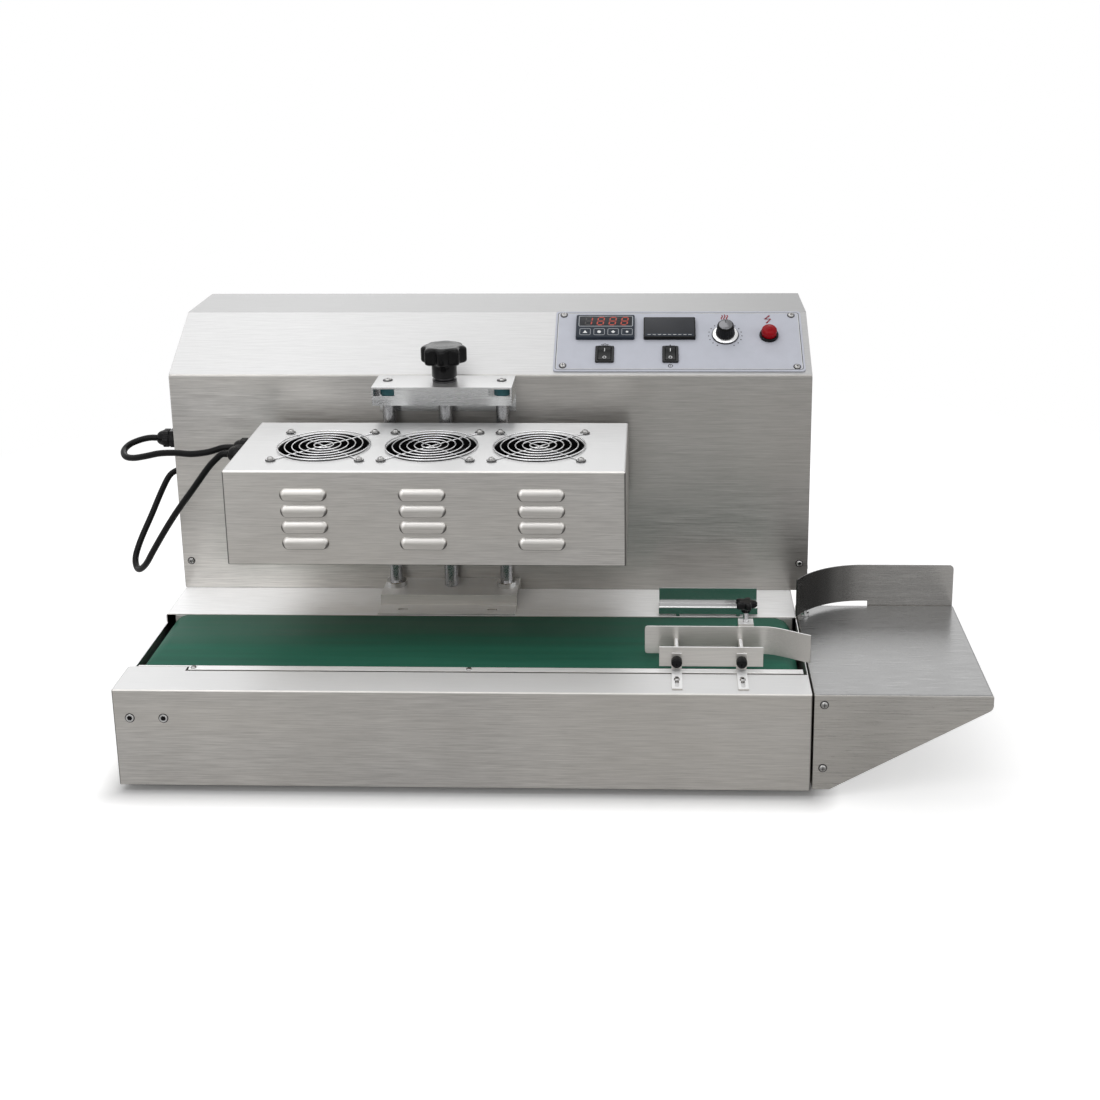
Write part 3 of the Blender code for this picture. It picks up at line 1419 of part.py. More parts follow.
# The two cables' routes in millimetres, from the cabinet's gland to the head's
UPPER_ROUTE = (
    (-530.3, 58, 333),
    (-540, 58, 333),
    (-552, 55.5, 331),
    (-563, 46, 328),
    (-566, 31, 324.5),
    (-559, 15, 322),
    (-545, 4, 323.5),
    (-526, -5, 329),
    (-505, -13, 335.5),
    (-482, -21, 339),
    (-460, -27, 339.5),
    (-437, -31, 343.5),
    (-420, -32, 349),
    (-411, -32, 350),
    (-404.3, -32, 350),
)
LOWER_ROUTE = (
    (-530.3, 145, 258),
    (-536, 145, 258),
    (-545.5, 138, 252.5),
    (-552, 120, 237),
    (-559.5, 94, 212),
    (-568, 68, 186),
    (-570, 48, 168),
    (-561, 30, 160),
    (-545, 14, 173),
    (-527, 0, 200),
    (-505, -14, 233),
    (-483, -27, 264),
    (-455, -43, 300),
    (-432, -54, 330),
    (-420, -57, 343),
    (-411.5, -58, 350),
    (-404.3, -58, 350),
)


def make_cables():
    """Four glands and the two cables between the cabinet and the head."""
    for level, (setback, z) in (("upper", upper_cabinet_gland), ("lower", lower_cabinet_gland)):
        gland(f"cabinet_gland_{level}", (left, cabinet_front + setback, z))
    for level, inset in zip(("upper", "lower"), head_gland_insets):
        gland(f"head_gland_{level}", (head_left, head_back - inset, head_bottom + head_gland_height))
    cable("cable_upper", UPPER_ROUTE)
    cable("cable_lower", LOWER_ROUTE)


def make_electronics():
    """The finned heat sink and the inverter inside the cabinet."""
    low = deck_z + clearance
    start = left + inverter_inset
    outline = [(start, low)]
    for k in range(fin_count):
        x = start + k * fin_pitch
        outline += [(x, low + fin_height), (x + fin_thickness, low + fin_height)]
        if k < fin_count - 1:
            outline += [(x + fin_thickness, low + fin_base), (x + fin_pitch, low + fin_base)]
    end = start + (fin_count - 1) * fin_pitch + fin_thickness
    outline.append((end, low))
    near = cabinet_front + inverter_setback
    far = near + inverter_depth
    inverter = prism("inverter_module", outline, "Y", near, far, "aluminium")
    board_low = (start + board_margin, near + board_margin, low + fin_height - 1 * mm)
    board_high = (end + sheet - board_margin, far - board_margin, low + fin_height + board_height - 1 * mm)
    board = box("board", board_low, board_high, "belt_green")
    combine(inverter, [board], "UNION")


def main():
    """Builds the whole machine."""
    clear_scene()
    make_base()
    make_conveyor()
    make_cabinet()
    make_lift()
    make_head()
    make_fans()
    make_panel()
    make_outfeed()
    make_guides()
    make_cables()
    make_electronics()


main()
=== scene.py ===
"""The looks of the tabletop induction cap sealer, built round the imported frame.

The file is laid out as an add-on: one operator for each group of pieces, and one for the stage.
Lengths are metres, in the frame's own axes: X along the belt, +Y to the back, +Z up.
"""

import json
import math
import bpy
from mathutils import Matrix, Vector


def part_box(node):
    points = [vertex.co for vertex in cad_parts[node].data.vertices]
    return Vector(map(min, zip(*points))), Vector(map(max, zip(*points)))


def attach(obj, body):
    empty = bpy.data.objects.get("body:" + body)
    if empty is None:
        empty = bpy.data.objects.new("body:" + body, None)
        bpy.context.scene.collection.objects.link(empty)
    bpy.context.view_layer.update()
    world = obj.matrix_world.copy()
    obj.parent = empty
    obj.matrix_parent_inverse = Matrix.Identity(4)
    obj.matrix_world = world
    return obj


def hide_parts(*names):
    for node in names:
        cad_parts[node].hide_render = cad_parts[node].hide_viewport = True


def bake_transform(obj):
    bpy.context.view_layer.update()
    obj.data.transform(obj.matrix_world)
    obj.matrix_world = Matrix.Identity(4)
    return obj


bl_info = {
    "name": "Induction Cap Sealer",
    "version": (1, 0, 0),
    "blender": (4, 5, 0),
    "location": "View3D > Sidebar > Sealer",
    "description": "Builds the sealer's visible pieces, finishes and stage",
    "category": "Object",
}

import bmesh
import bpy
from bpy.props import FloatProperty, FloatVectorProperty, IntProperty, PointerProperty
from mathutils import Matrix, Vector

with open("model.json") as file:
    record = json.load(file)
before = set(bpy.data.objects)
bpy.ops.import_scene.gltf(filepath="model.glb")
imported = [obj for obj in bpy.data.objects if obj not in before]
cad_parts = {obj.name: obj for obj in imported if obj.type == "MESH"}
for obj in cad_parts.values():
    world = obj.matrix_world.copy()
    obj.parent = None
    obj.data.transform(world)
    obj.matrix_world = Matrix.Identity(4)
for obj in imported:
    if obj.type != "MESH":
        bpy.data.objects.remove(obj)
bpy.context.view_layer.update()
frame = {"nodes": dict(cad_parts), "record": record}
NODES = frame["nodes"]
RECORD = frame["record"]
SLOT_OF = {row["node"]: row["material_slot"] for row in RECORD["subparts"]}
BODY_OF = {node: body for body, members in RECORD["behaviour"]["bodies"].items() for node in members}
SIDES = ("left", "middle", "right")
MM = 0.001
TURN = 2 * math.pi
GAP = 0.3 * MM


def middle_of(node):
    """The middle of a node's box."""
    low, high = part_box(node)
    return (low + high) / 2


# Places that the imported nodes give
BASE_LOW, BASE_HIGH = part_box("base_housing")
CABINET_LOW, CABINET_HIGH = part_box("cabinet_shell")
HEAD_LOW, HEAD_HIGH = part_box("head_cover")
TABLE_LOW, TABLE_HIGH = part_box("outfeed_table")
DECK = BASE_HIGH.z
SHEET = 1.5 * MM
CABINET_FRONT = CABINET_LOW.y
CABINET_FOLD = 424 * MM
SLOPE_TILT = math.atan2(CABINET_HIGH.z - CABINET_FOLD, 100 * MM)
HEAD_FRONT = HEAD_HIGH.y - 185 * MM
FAN_OPENING = 54 * MM
FAN_CENTRES = [middle_of(f"fan_frame_{side}") for side in SIDES]
LIFT = middle_of("lead_screw")
ROD_SPOTS = [middle_of(f"guide_rod_{side}") for side in ("left", "right")]


def length(name, default, low, high, text=""):
    """A length that the panel shows in the scene's unit."""
    return FloatProperty(name=name, description=text or name, default=default, min=low, max=high, unit="LENGTH")


def share(name, default):
    """A value from 0 to 1."""
    return FloatProperty(name=name, description=name, default=default, min=0, max=1, subtype="FACTOR")


def colour(name, default):
    """A linear colour."""
    return FloatVectorProperty(name=name, description=name, default=default, min=0, max=1, size=3, subtype="COLOR")


def strength(name, text, default):
    """A strength of light."""
    return FloatProperty(name=name, description=text, default=default, min=0)


def number(name, text, default, low, high):
    """How many of something there are."""
    return IntProperty(name=name, description=text, default=default, min=low, max=high)


class SealerStage(bpy.types.PropertyGroup):
    key_strength: strength("Key light", "Power of the overhead light", 8)
    fill_strength: strength("Fill light", "Power of the front light", 7)
    back_strength: strength("Back light", "Power of the light behind", 7)
    strip_strength: strength("Strip light", "Power of the light on the folds", 9)
    sky: strength("Surroundings", "Light from all round", 0.4)
    sky_in_metal: strength("Sky in metal", "Background as metal shows it", 0.78)
    floor_in_metal: strength("Floor in metal", "Floor as metal shows it", 0.48)
    floor_glow: strength("Floor glow", "What keeps the floor white", 0.52)


class SealerFinishes(bpy.types.PropertyGroup):
    steel: colour("Brushed steel", (0.6, 0.585, 0.565))
    dark_steel: colour("Guard steel", (0.29, 0.285, 0.28))
    belt: colour("Belt", (0.028, 0.15, 0.1))
    panel: colour("Control panel", (0.68, 0.7, 0.78))
    button: colour("Button", (0.34, 0.005, 0.01))
    grain: length("Grain width", 1.1 * MM, 0.1 * MM, 0.01)
    steel_roughness: share("Steel roughness", 0.36)


class SealerSheet(bpy.types.PropertyGroup):
    edge: length("Edge radius", 0.5 * MM, 0, 0.01, "Round on the cut edges of sheet metal")
    fold: length("Fold radius", 2.5 * MM, 0, 0.02, "Round of the folded edges")


class SealerFans(bpy.types.PropertyGroup):
    rings: number("Guard rings", "Wire rings of each guard", 6, 3, 12)
    ring_step: length("Ring step", 8.7 * MM, 1 * MM, 0.02)
    wire: length("Wire radius", 0.86 * MM, 0.2 * MM, 0.003)
    blades: number("Blades", "Blades of each rotor", 7, 3, 11)
    screw_pitch: length("Screw pitch", 104 * MM, 0.05, 0.12)


class SealerHead(bpy.types.PropertyGroup):
    louvre_length: length("Louvre length", 55 * MM, 0.02, 0.1)
    louvre_height: length("Louvre height", 14.7 * MM, 0.005, 0.03)
    louvre_depth: length("Louvre depth", 4.4 * MM, 0.001, 0.01)
    louvre_pitch: length("Louvre pitch", 19.7 * MM, 0.01, 0.05)
    louvre_columns: length("Column pitch", 137 * MM, 0.08, 0.2)
    louvre_top: length("Top louvre drop", 28.6 * MM, 0.01, 0.05)


class SealerLift(bpy.types.PropertyGroup):
    knob_radius: length("Knob radius", 29 * MM, 0.01, 0.05)
    knob_lobes: number("Knob lobes", "Lobes of the star knob", 8, 4, 12)


class SealerControls(bpy.types.PropertyGroup):
    digit_height: length("Digit height", 14 * MM, 0.005, 0.03)
    digit_slant: FloatProperty(
        name="Digit slant", description="Lean of the digits", default=math.radians(8), subtype="ANGLE"
    )
    dial_ticks: number("Dial ticks", "Dots round the dial", 17, 4, 30)
    dial_flutes: number("Dial flutes", "Flutes of the dial", 24, 8, 40)


class SealerCables(bpy.types.PropertyGroup):
    radius: length("Cable radius", 4.1 * MM, 0.001, 0.01)
    nut_flats: length("Gland flats", 22 * MM, 0.01, 0.04)


SETTINGS = {
    "sealer_stage": SealerStage,
    "sealer_finishes": SealerFinishes,
    "sealer_sheet": SealerSheet,
    "sealer_fans": SealerFans,
    "sealer_head": SealerHead,
    "sealer_lift": SealerLift,
    "sealer_controls": SealerControls,
    "sealer_cables": SealerCables,
}


# Materials


def feed(tree, made, inputs):
    """Gives a node's inputs their values, or links other nodes' output sockets to them."""
    for key, value in inputs.items():
        if isinstance(value, bpy.types.NodeSocket):
            tree.links.new(value, made.inputs[key])
        else:
            made.inputs[key].default_value = value


def node(tree, kind, inputs=None, **settings):
    """Adds a node."""
    made = tree.nodes.new(kind)
    for key, value in settings.items():
        setattr(made, key, value)
    feed(tree, made, inputs or {})
    return made


def blank_material(name):
    """A material with its tree, its shader and the object coordinates."""
    made = bpy.data.materials.get(name)
    if made:
        bpy.data.materials.remove(made)
    made = bpy.data.materials.new(name)
    made.use_nodes = True
    tree = made.node_tree
    shader = tree.nodes["Principled BSDF"]
    place = node(tree, "ShaderNodeTexCoord").outputs["Object"]
    return made, tree, shader, place


def scaled(tree, place, scale):
    """The coordinates, scaled along each axis."""
    return node(tree, "ShaderNodeMapping", {"Vector": place, "Scale": scale}).outputs[0]


def noise(tree, place, scale, detail=3.0, roughness=0.55):
    """A noise value."""
    inputs = {"Vector": place, "Scale": scale, "Detail": detail, "Roughness": roughness}
    return node(tree, "ShaderNodeTexNoise", inputs).outputs[0]


def ranged(tree, value, low, high, start=0.3, stop=0.7):
    """A value moved to another range."""
    inputs = {"Value": value, "From Min": start, "From Max": stop, "To Min": low, "To Max": high}
    return node(tree, "ShaderNodeMapRange", inputs).outputs[0]


def mixed(tree, factor, first, second):
    """A colour between two, where the factor is a socket or a number."""
    made = node(tree, "ShaderNodeMix", {0: factor}, data_type="RGBA")
    for index, value in ((6, first), (7, second)):
        feed(tree, made, {index: value if isinstance(value, bpy.types.NodeSocket) else (*value, 1)})
    return made.outputs[2]


def worked(tree, operation, *values):
    """What a math node makes of values or sockets."""
    return node(tree, "ShaderNodeMath", dict(enumerate(values)), operation=operation).outputs[0]


def vector_worked(tree, operation, *values):
    """What a vector math node makes of values or sockets."""
    made = node(tree, "ShaderNodeVectorMath", dict(enumerate(values)), operation=operation).outputs
    return made["Value"] if operation == "LENGTH" else made["Vector"]


def bumped(tree, shader, height, strength, distance):
    """Gives a shader a bump."""
    inputs = {"Height": height, "Strength": strength, "Distance": distance}
    tree.links.new(node(tree, "ShaderNodeBump", inputs).outputs[0], shader.inputs["Normal"])


def shade(base, factor):
    """A colour made lighter or darker."""
    return tuple(min(channel * factor, 1) for channel in base)


def brushed_metal(name, base, roughness, grain, contrast=0.2, sheen_bands=0.14, top=1.16, rise=0.13, **light_and_shade):
    """Brushed sheet whose grain runs along X, with light and shade painted into its colour: paler upward faces, bright
    folds and dark corners.

    near is the painted tone of upward faces towards the front, flat the painted tone of level ones, edge the depth of
    the painted shade on corners, fold the strength of the painted highlight on folds, side the painted light and shade
    from one X to another and glow the painted reflection low on the left.
    """
    light_and_shade = {"near": 1.0, "flat": 1.0, "edge": 0.8, "fold": 0.0, "side": (1, 1, 0, 1), "glow": 0.0, **light_and_shade}
    made, tree, shader, place = blank_material(name)
    fine = noise(tree, scaled(tree, place, (24, 1 / grain, 1 / grain)), 1, 3, 0.7)
    # Painted highlights: soft bands across X, standing for the stretched reflections of the brushed grain.
    bands = noise(tree, scaled(tree, place, (6.5, 0.9, 1.1)), 1, 2, 0.5)
    broad = noise(tree, scaled(tree, place, (2.2, 5, 7)), 1, 2, 0.5)
    streaks = mixed(tree, ranged(tree, fine, 0, 1), shade(base, 1 - contrast), shade(base, 1 + contrast))
    soft = mixed(tree, ranged(tree, bands, 0, 1), (1 - sheen_bands,) * 3, (1, 1, 1))
    banded = node(tree, "ShaderNodeMix", {0: 1.0, 6: streaks, 7: soft}, data_type="RGBA", blend_type="MULTIPLY")
    warm = (base[0] * 1.05, base[1] * 1.02, base[2] * 0.96)
    patches = mixed(tree, ranged(tree, broad, 0, 0.45), banded.outputs[2], warm)
    normal = node(tree, "ShaderNodeTexCoord").outputs["Normal"]
    facing = node(tree, "ShaderNodeSeparateXYZ", {0: normal}).outputs
    upward = ranged(tree, facing["Z"], 0, 1, 0.6, 0.85)
    # Masks for painted light and shade: tilted finds the folds between top and front faces, turned the corners and side
    # edges.
    front = worked(tree, "ABSOLUTE", facing["Y"])
    corner = worked(tree, "MULTIPLY", facing["X"], front)
    corner = worked(tree, "ABSOLUTE", corner)
    tilted = worked(tree, "MULTIPLY", facing["Z"], front)
    turned = worked(tree, "SUBTRACT", corner, tilted)
    # Painted light: upward faces get a paler grey, as if lit from above, and those towards the front the near tone.
    grey = shade((base[1],) * 3, top)
    pale = mixed(tree, ranged(tree, fine, 0, 1), shade(grey, 1 - contrast * 0.5), shade(grey, 1 + contrast * 0.5))
    spot = node(tree, "ShaderNodeSeparateXYZ", {0: place}).outputs
    lying = mixed(tree, ranged(tree, spot["Y"], 0, 1, -0.19, -0.06), shade(grey, light_and_shade["near"]), pale)
    whole = mixed(tree, upward, patches, lying)
    # Painted highlight on the folds, then painted shade on the corners and side edges.
    whole = mixed(tree, ranged(tree, tilted, 0, light_and_shade["fold"], 0.12, 0.42), whole, shade(base, 1.5))
    whole = mixed(tree, ranged(tree, turned, 0, light_and_shade["edge"], 0.08, 0.4), whole, shade(base, 0.1))
    # Painted light and shade: side lightens or darkens the steel from one X to another, and glow paints a reflection
    # low on the left.
    start, stop, west, east = light_and_shade["side"]
    gleam = ranged(tree, spot["X"], light_and_shade["glow"], 0, -0.45, -0.05)
    low = ranged(tree, spot["Z"], 1, 0, 0.14, 0.36)
    side = ranged(tree, spot["X"], start, stop, west, east)
    tone = worked(tree, "MULTIPLY_ADD", gleam, low, side)
    # Painted shade on level faces.
    level = ranged(tree, facing["Z"], 1, light_and_shade["flat"], 0.9, 0.98)
    tone = worked(tree, "MULTIPLY", tone, level)
    whole = node(tree, "ShaderNodeVectorMath", {0: whole, "Scale": tone}, operation="SCALE").outputs[0]
    wander = ranged(tree, fine, roughness - 0.06, roughness + 0.08)
    lifted = worked(tree, "MULTIPLY_ADD", upward, rise, wander)
    bumped(tree, shader, fine, 0.2, 0.00015)
    across = vector_worked(tree, "CROSS_PRODUCT", normal, (1, 0, 0))
    tangent = vector_worked(tree, "ADD", across, (0, 0, 0.15))
    feed(tree, shader, {"Base Color": whole, "Roughness": lifted, "Tangent": tangent})
    feed(tree, shader, {"Metallic": 1, "Anisotropic": 0.8})
    return made


def turned_metal(name, base, roughness):
    """Turned, machined or plated metal with faint marks."""
    made, tree, shader, place = blank_material(name)
    marks = noise(tree, scaled(tree, place, (900, 900, 900)), 1, 2, 0.5)
    tint = mixed(tree, ranged(tree, marks, 0, 1), shade(base, 0.93), shade(base, 1.05))
    rough = ranged(tree, marks, roughness * 0.8, roughness * 1.25)
    feed(tree, shader, {"Base Color": tint, "Metallic": 1, "Roughness": rough})
    bumped(tree, shader, marks, 0.05, 0.00008)
    return made


def moulded(name, base, roughness, texture=1400, bump=0.12, specular=0.5, cloud=0.13):
    """Moulded plastic or rubber with a fine texture and slightly uneven gloss."""
    made, tree, shader, place = blank_material(name)
    pits = noise(tree, place, texture, 2, 0.5)
    smear = noise(tree, place, 45, 3, 0.6)
    tint = mixed(tree, ranged(tree, smear, 0, 1), shade(base, 1 - cloud), shade(base, 1 + cloud))
    rough = ranged(tree, smear, roughness * 0.88, roughness * 1.15)
    feed(tree, shader, {"Base Color": tint, "Roughness": rough, "Specular IOR Level": specular})
    bumped(tree, shader, pits, bump, 0.0001)
    return made


def belting(name, base):
    """Conveyor belting: a fine woven face with lengthwise scuffs."""
    made, tree, shader, place = blank_material(name)
    along = node(tree, "ShaderNodeTexWave", {"Vector": place, "Scale": 260, "Distortion": 0.3}, bands_direction="X")
    across = node(tree, "ShaderNodeTexWave", {"Vector": place, "Scale": 260, "Distortion": 0.3}, bands_direction="Y")
    weave = worked(tree, "MULTIPLY", along.outputs["Fac"], across.outputs["Fac"])
    scuffs = noise(tree, scaled(tree, place, (2.5, 60, 60)), 1, 4, 0.6)
    tint = mixed(tree, ranged(tree, scuffs, 0, 1), shade(base, 0.85), shade(base, 1.2))
    rough = ranged(tree, scuffs, 0.42, 0.58)
    feed(tree, shader, {"Base Color": tint, "Roughness": rough, "Specular IOR Level": 0.22})
    bumped(tree, shader, weave, 0.25, 0.00012)
    return made


def lit(name, base, glow):
    """A glowing segment of a display."""
    made, tree, shader, place = blank_material(name)
    grain = noise(tree, place, 700, 1, 0.5)
    tint = mixed(tree, ranged(tree, grain, 0, 1), shade(base, 0.9), shade(base, 1.05))
    feed(tree, shader, {"Base Color": tint, "Emission Color": tint, "Emission Strength": glow, "Roughness": 0.4})
    return made


FINISHES = {}


def make_finishes(values):
    """All the finishes, by name."""
    steel, grain, rough = tuple(values.steel), values.grain, values.steel_roughness
    plate, dark = (0.76, 0.77, 0.78), tuple(values.dark_steel)
    cabinet_light_and_shade = {"flat": 0.72, "side": (1.0, 0.78, -0.35, 0.3), "glow": 0.3}
    # The top, near, flat, edge, fold, side and glow values paint light and shade into each steel: paler or darker tops,
    # bright folds, dark corners and painted reflections.
    brushed = {
        "brushed steel": ((steel, rough, grain), {}),
        "base steel": ((steel, rough, grain, 0.2, 0.14, 1.6, 0.25), {"near": 0.78, "fold": 1.0}),
        "cabinet steel": ((steel, rough, grain, 0.2, 0.2, 1.15), cabinet_light_and_shade),
        "head steel": ((steel, rough, grain, 0.2, 0.14, 1.08), {"fold": 1.0}),
        "top steel": ((shade(steel, 1.15), rough, grain, 0.1, 0.14, 1.3, 0.2), {"edge": 0.3}),
        "table steel": ((shade(steel, 0.92), 0.3, grain, 0.2, 0.2, 0.62, 0), {}),
        "bracket steel": ((plate, 0.22, grain, 0.05, 0.12, 0.85, 0.1), {}),
        "guard steel": ((dark, 0.24, grain, 0.08, 0.35, 1, 0), {"side": (0.9, 2.0, 0.335, 0.4)}),
    }
    for name, (given, light_and_shade) in brushed.items():
        FINISHES[name] = brushed_metal(name, *given, **light_and_shade)
    plain = {
        turned_metal: {
            # cap aluminium is darkened well below real aluminium, painting the dark reflection that the dial's cap
            # shows.
            "cap aluminium": ((0.2, 0.2, 0.21), 0.2),
            "rod steel": ((0.45, 0.45, 0.46), 0.26),
            "bright steel": ((0.7, 0.7, 0.7), 0.16),
            "plated steel": ((0.8, 0.8, 0.81), 0.08),
            "wire steel": ((0.8, 0.8, 0.81), 0.22),
            "screw steel": ((0.46, 0.455, 0.45), 0.2),
            "dark steel": ((0.06, 0.06, 0.062), 0.35),
            "machined aluminium": ((0.6, 0.61, 0.63), 0.3),
            "gland nickel": ((0.75, 0.75, 0.74), 0.28),
            "dial white": ((0.85, 0.85, 0.86), 0.28),
            "copper": ((0.72, 0.33, 0.17), 0.35),
        },
        moulded: {
            "teal plating": ((0.09, 0.27, 0.31), 0.25, 1400, 0.03, 0.5),
            "black plastic": ((0.004, 0.004, 0.0045), 0.2, 1400, 0.05, 0.2),
            "fan plastic": ((0.002, 0.002, 0.0022), 0.5, 1400, 0.1, 0.15),
            "switch plastic": ((0.008, 0.0085, 0.0095), 0.28, 2200, 0.04, 0.3),
            "cable sheath": ((0.003, 0.003, 0.0035), 0.3, 900, 0.06, 0.18),
            "foot rubber": ((0.015, 0.015, 0.015), 0.75),
            "meter plastic": ((0.018, 0.026, 0.04), 0.4, 2200, 0.04, 0.25),
            "display glass": ((0.024, 0.026, 0.032), 0.35, 2500, 0.02, 0.25),
            "window glass": ((0.016, 0.017, 0.021), 0.3, 2500, 0.02, 0.25),
            "panel paint": (shade(values.panel, 0.92), 0.55, 2500, 0.04, 0.25, 0.03),
            "white print": ((0.88, 0.89, 0.9), 0.5, 2500, 0.02, 0.2),
            "grey print": ((0.5, 0.52, 0.55), 0.5, 2500, 0.02, 0.2),
            "black print": ((0.03, 0.03, 0.035), 0.5, 2500, 0.02),
            "red print": ((0.32, 0.012, 0.018), 0.5, 2500, 0.02, 0.2),
            "button red": (tuple(values.button), 0.12, 2500, 0.02, 0.12),
            "laminate": ((0.42, 0.29, 0.15), 0.55, 300, 0.3),
            "ferrite": ((0.045, 0.045, 0.05), 0.7, 500, 0.4),
        },
        lit: {
            "lit segment": ((0.5, 0.06, 0.035), 0.2),
            "dark segment": ((0.05, 0.047, 0.047), 0.0),
        },
    }
    for maker, rows in plain.items():
        for name, given in rows.items():
            FINISHES[name] = maker(name, *given)
    FINISHES["belt green"] = belting("belt green", tuple(values.belt))


NODE_FINISH = {
    "stainless": "brushed steel",
    "stainless_dark": "guard steel",
    "aluminium": "machined aluminium",
    "chrome": "plated steel",
    "steel": "screw steel",
    "black_plastic": "black plastic",
    "black_rubber": "cable sheath",
    "slate_plastic": "meter plastic",
    "panel_grey": "panel paint",
    "red_plastic": "button red",
    "belt_green": "belt green",
    "phenolic": "laminate",
    "copper": "copper",
    "ferrite": "ferrite",
}


# Mesh making


def placed(bm, place):
    """A bmesh moved by a matrix."""
    bmesh.ops.transform(bm, matrix=place, verts=bm.verts)
    return bm


def linked(name, data):
    """A new object in the scene."""
    thing = bpy.data.objects.new(name, data)
    bpy.context.scene.collection.objects.link(thing)
    return thing


def gathered(parts):
    """Several bmeshes in one."""
    whole = bmesh.new()
    for part in parts:
        mesh = bpy.data.meshes.new("part")
        part.to_mesh(mesh)
        part.free()
        whole.from_mesh(mesh)
        bpy.data.meshes.remove(mesh)
    return whole


def add_object(name, parts, finish, angle=35, outward=True):
    """An object from one bmesh or several, smooth but for its sharp edges."""
    parts = parts if isinstance(parts, list) else [parts]
    if outward:
        for part in parts:
            bmesh.ops.recalc_face_normals(part, faces=part.faces)
    bm = gathered(parts)
    mesh = bpy.data.meshes.new(name)
    bm.to_mesh(mesh)
    bm.free()
    mesh.shade_smooth()
    mesh.set_sharp_from_angle(angle=math.radians(angle))
    mesh.materials.append(FINISHES[finish])
    return linked(name, mesh)


def evaluated_mesh(thing):
    """A plain mesh of what an object's modifiers make."""
    bpy.context.view_layer.update()
    evaluated = thing.evaluated_get(bpy.context.evaluated_depsgraph_get())
    return bpy.data.meshes.new_from_object(evaluated)


def settle(thing):
    """Replaces an object's modifiers with their result."""
    mesh = evaluated_mesh(thing)
    thing.modifiers.clear()
    thing.data = mesh
    return thing


def bake(thing, angle=35):
    """The same, with edges sharper than an angle kept sharp."""
    settle(thing).data.shade_smooth()
    thing.data.set_sharp_from_angle(angle=math.radians(angle))


def soften(thing, width, segments=2, limit=30):
    """Rounds an object's sharp edges."""
    bevel = thing.modifiers.new("edges", "BEVEL")
    bevel.width = width
    bevel.segments = segments
    bevel.limit_method = "ANGLE"
    bevel.angle_limit = math.radians(limit)
    bake(thing, 40)
    weighted = thing.modifiers.new("flat faces", "WEIGHTED_NORMAL")
    weighted.keep_sharp = True
    weighted.weight = 80
    return settle(thing)


def carve(thing, tools, operation="DIFFERENCE"):
    """Cuts tools from an object, or joins them to it."""
    for tool in tools:
        modifier = thing.modifiers.new("carve", "BOOLEAN")
        modifier.operation = operation
        modifier.solver = "EXACT"
        modifier.object = tool
    bake(thing)
    for tool in tools:
        bpy.data.objects.remove(tool, do_unlink=True)
    return thing


def fit(thing, nodes=(), body=None):
    """Sets a piece on its body and the nodes that it stands for."""
    nodes = [nodes] if isinstance(nodes, str) else list(nodes)
    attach(thing, body or BODY_OF[nodes[0]])
    if nodes:
        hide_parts(*nodes)
    return thing


def dress(name, source, finish, edge, segments=2, limit=30):
    """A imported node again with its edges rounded, as a piece of its own."""
    bm = bmesh.new()
    bm.from_mesh(NODES[source].data)
    bmesh.ops.remove_doubles(bm, verts=bm.verts, dist=2e-6)
    bmesh.ops.dissolve_limit(bm, angle_limit=math.radians(0.4), verts=bm.verts, edges=bm.edges)
    thing = add_object(name, bm, finish, outward=False)
    soften(thing, edge, segments, limit)
    return fit(thing, source)


def box_mesh(low, high):
    """A bmesh box between two corners."""
    bm = bmesh.new()
    bmesh.ops.create_cube(bm, size=1)
    low, high = Vector(low), Vector(high)
    for vert in bm.verts:
        vert.co = [low[i] + (high[i] - low[i]) * (vert.co[i] + 0.5) for i in range(3)]
    return bm


def bevel_edges(bm, wanted, width, segments=3):
    """Rounds the edges whose two ends pass a test."""
    edges = [edge for edge in bm.edges if wanted(edge.verts[0].co, edge.verts[1].co)]
    bmesh.ops.bevel(bm, geom=edges, offset=width, segments=segments, profile=0.5, affect="EDGES")
    return bm


def soft_box(low, high, width, segments=3):
    """A box with every edge rounded."""
    return bevel_edges(box_mesh(low, high), lambda a, b: True, width, segments)


def skin(loops, closed=False):
    """A bmesh skinned over loops of equal length."""
    bm = bmesh.new()
    rings = [[bm.verts.new(point) for point in loop] for loop in loops]
    count = len(rings[0])
    following = rings[1:] + rings[:1] if closed else rings[1:]
    for lower, upper in zip(rings, following):
        for k in range(count):
            after = (k + 1) % count
            bm.faces.new((lower[k], lower[after], upper[after], upper[k]))
    if not closed:
        bm.faces.new(rings[0])
        bm.faces.new(rings[-1])
    return bm


def prism_mesh(outline, axis, start, stop):
    """A bmesh of an outline swept along X, Y or Z."""
    order = {
        "X": lambda u, v, along: (along, u, v),
        "Y": lambda u, v, along: (u, along, v),
        "Z": lambda u, v, along: (u, v, along),
    }[axis]
    return skin([[order(u, v, along) for u, v in outline] for along in (start, stop)])


def revolve(profile, segments=32, ring=False):
    """A bmesh turned about Z from (radius, height) pairs. A radius may be a function of the angle."""
    bm = bmesh.new()
    loops = []
    for radius, height in profile:
        if radius == 0:
            loops.append([bm.verts.new((0, 0, height))])
            continue
        loop = []
        for k in range(segments):
            angle = TURN * k / segments
            reach = radius(angle) if callable(radius) else radius
            loop.append(bm.verts.new((reach * math.cos(angle), reach * math.sin(angle), height)))
        loops.append(loop)
    following = loops[1:] + loops[:1] if ring else loops[1:]
    for lower, upper in zip(loops, following):
        for k in range(segments):
            corners = [lower[k % len(lower)], lower[(k + 1) % segments % len(lower)]]
            corners += [upper[(k + 1) % segments % len(upper)], upper[k % len(upper)]]
            distinct = list(dict.fromkeys(corners))
            if len(distinct) > 2:
                bm.faces.new(distinct)
    return bm


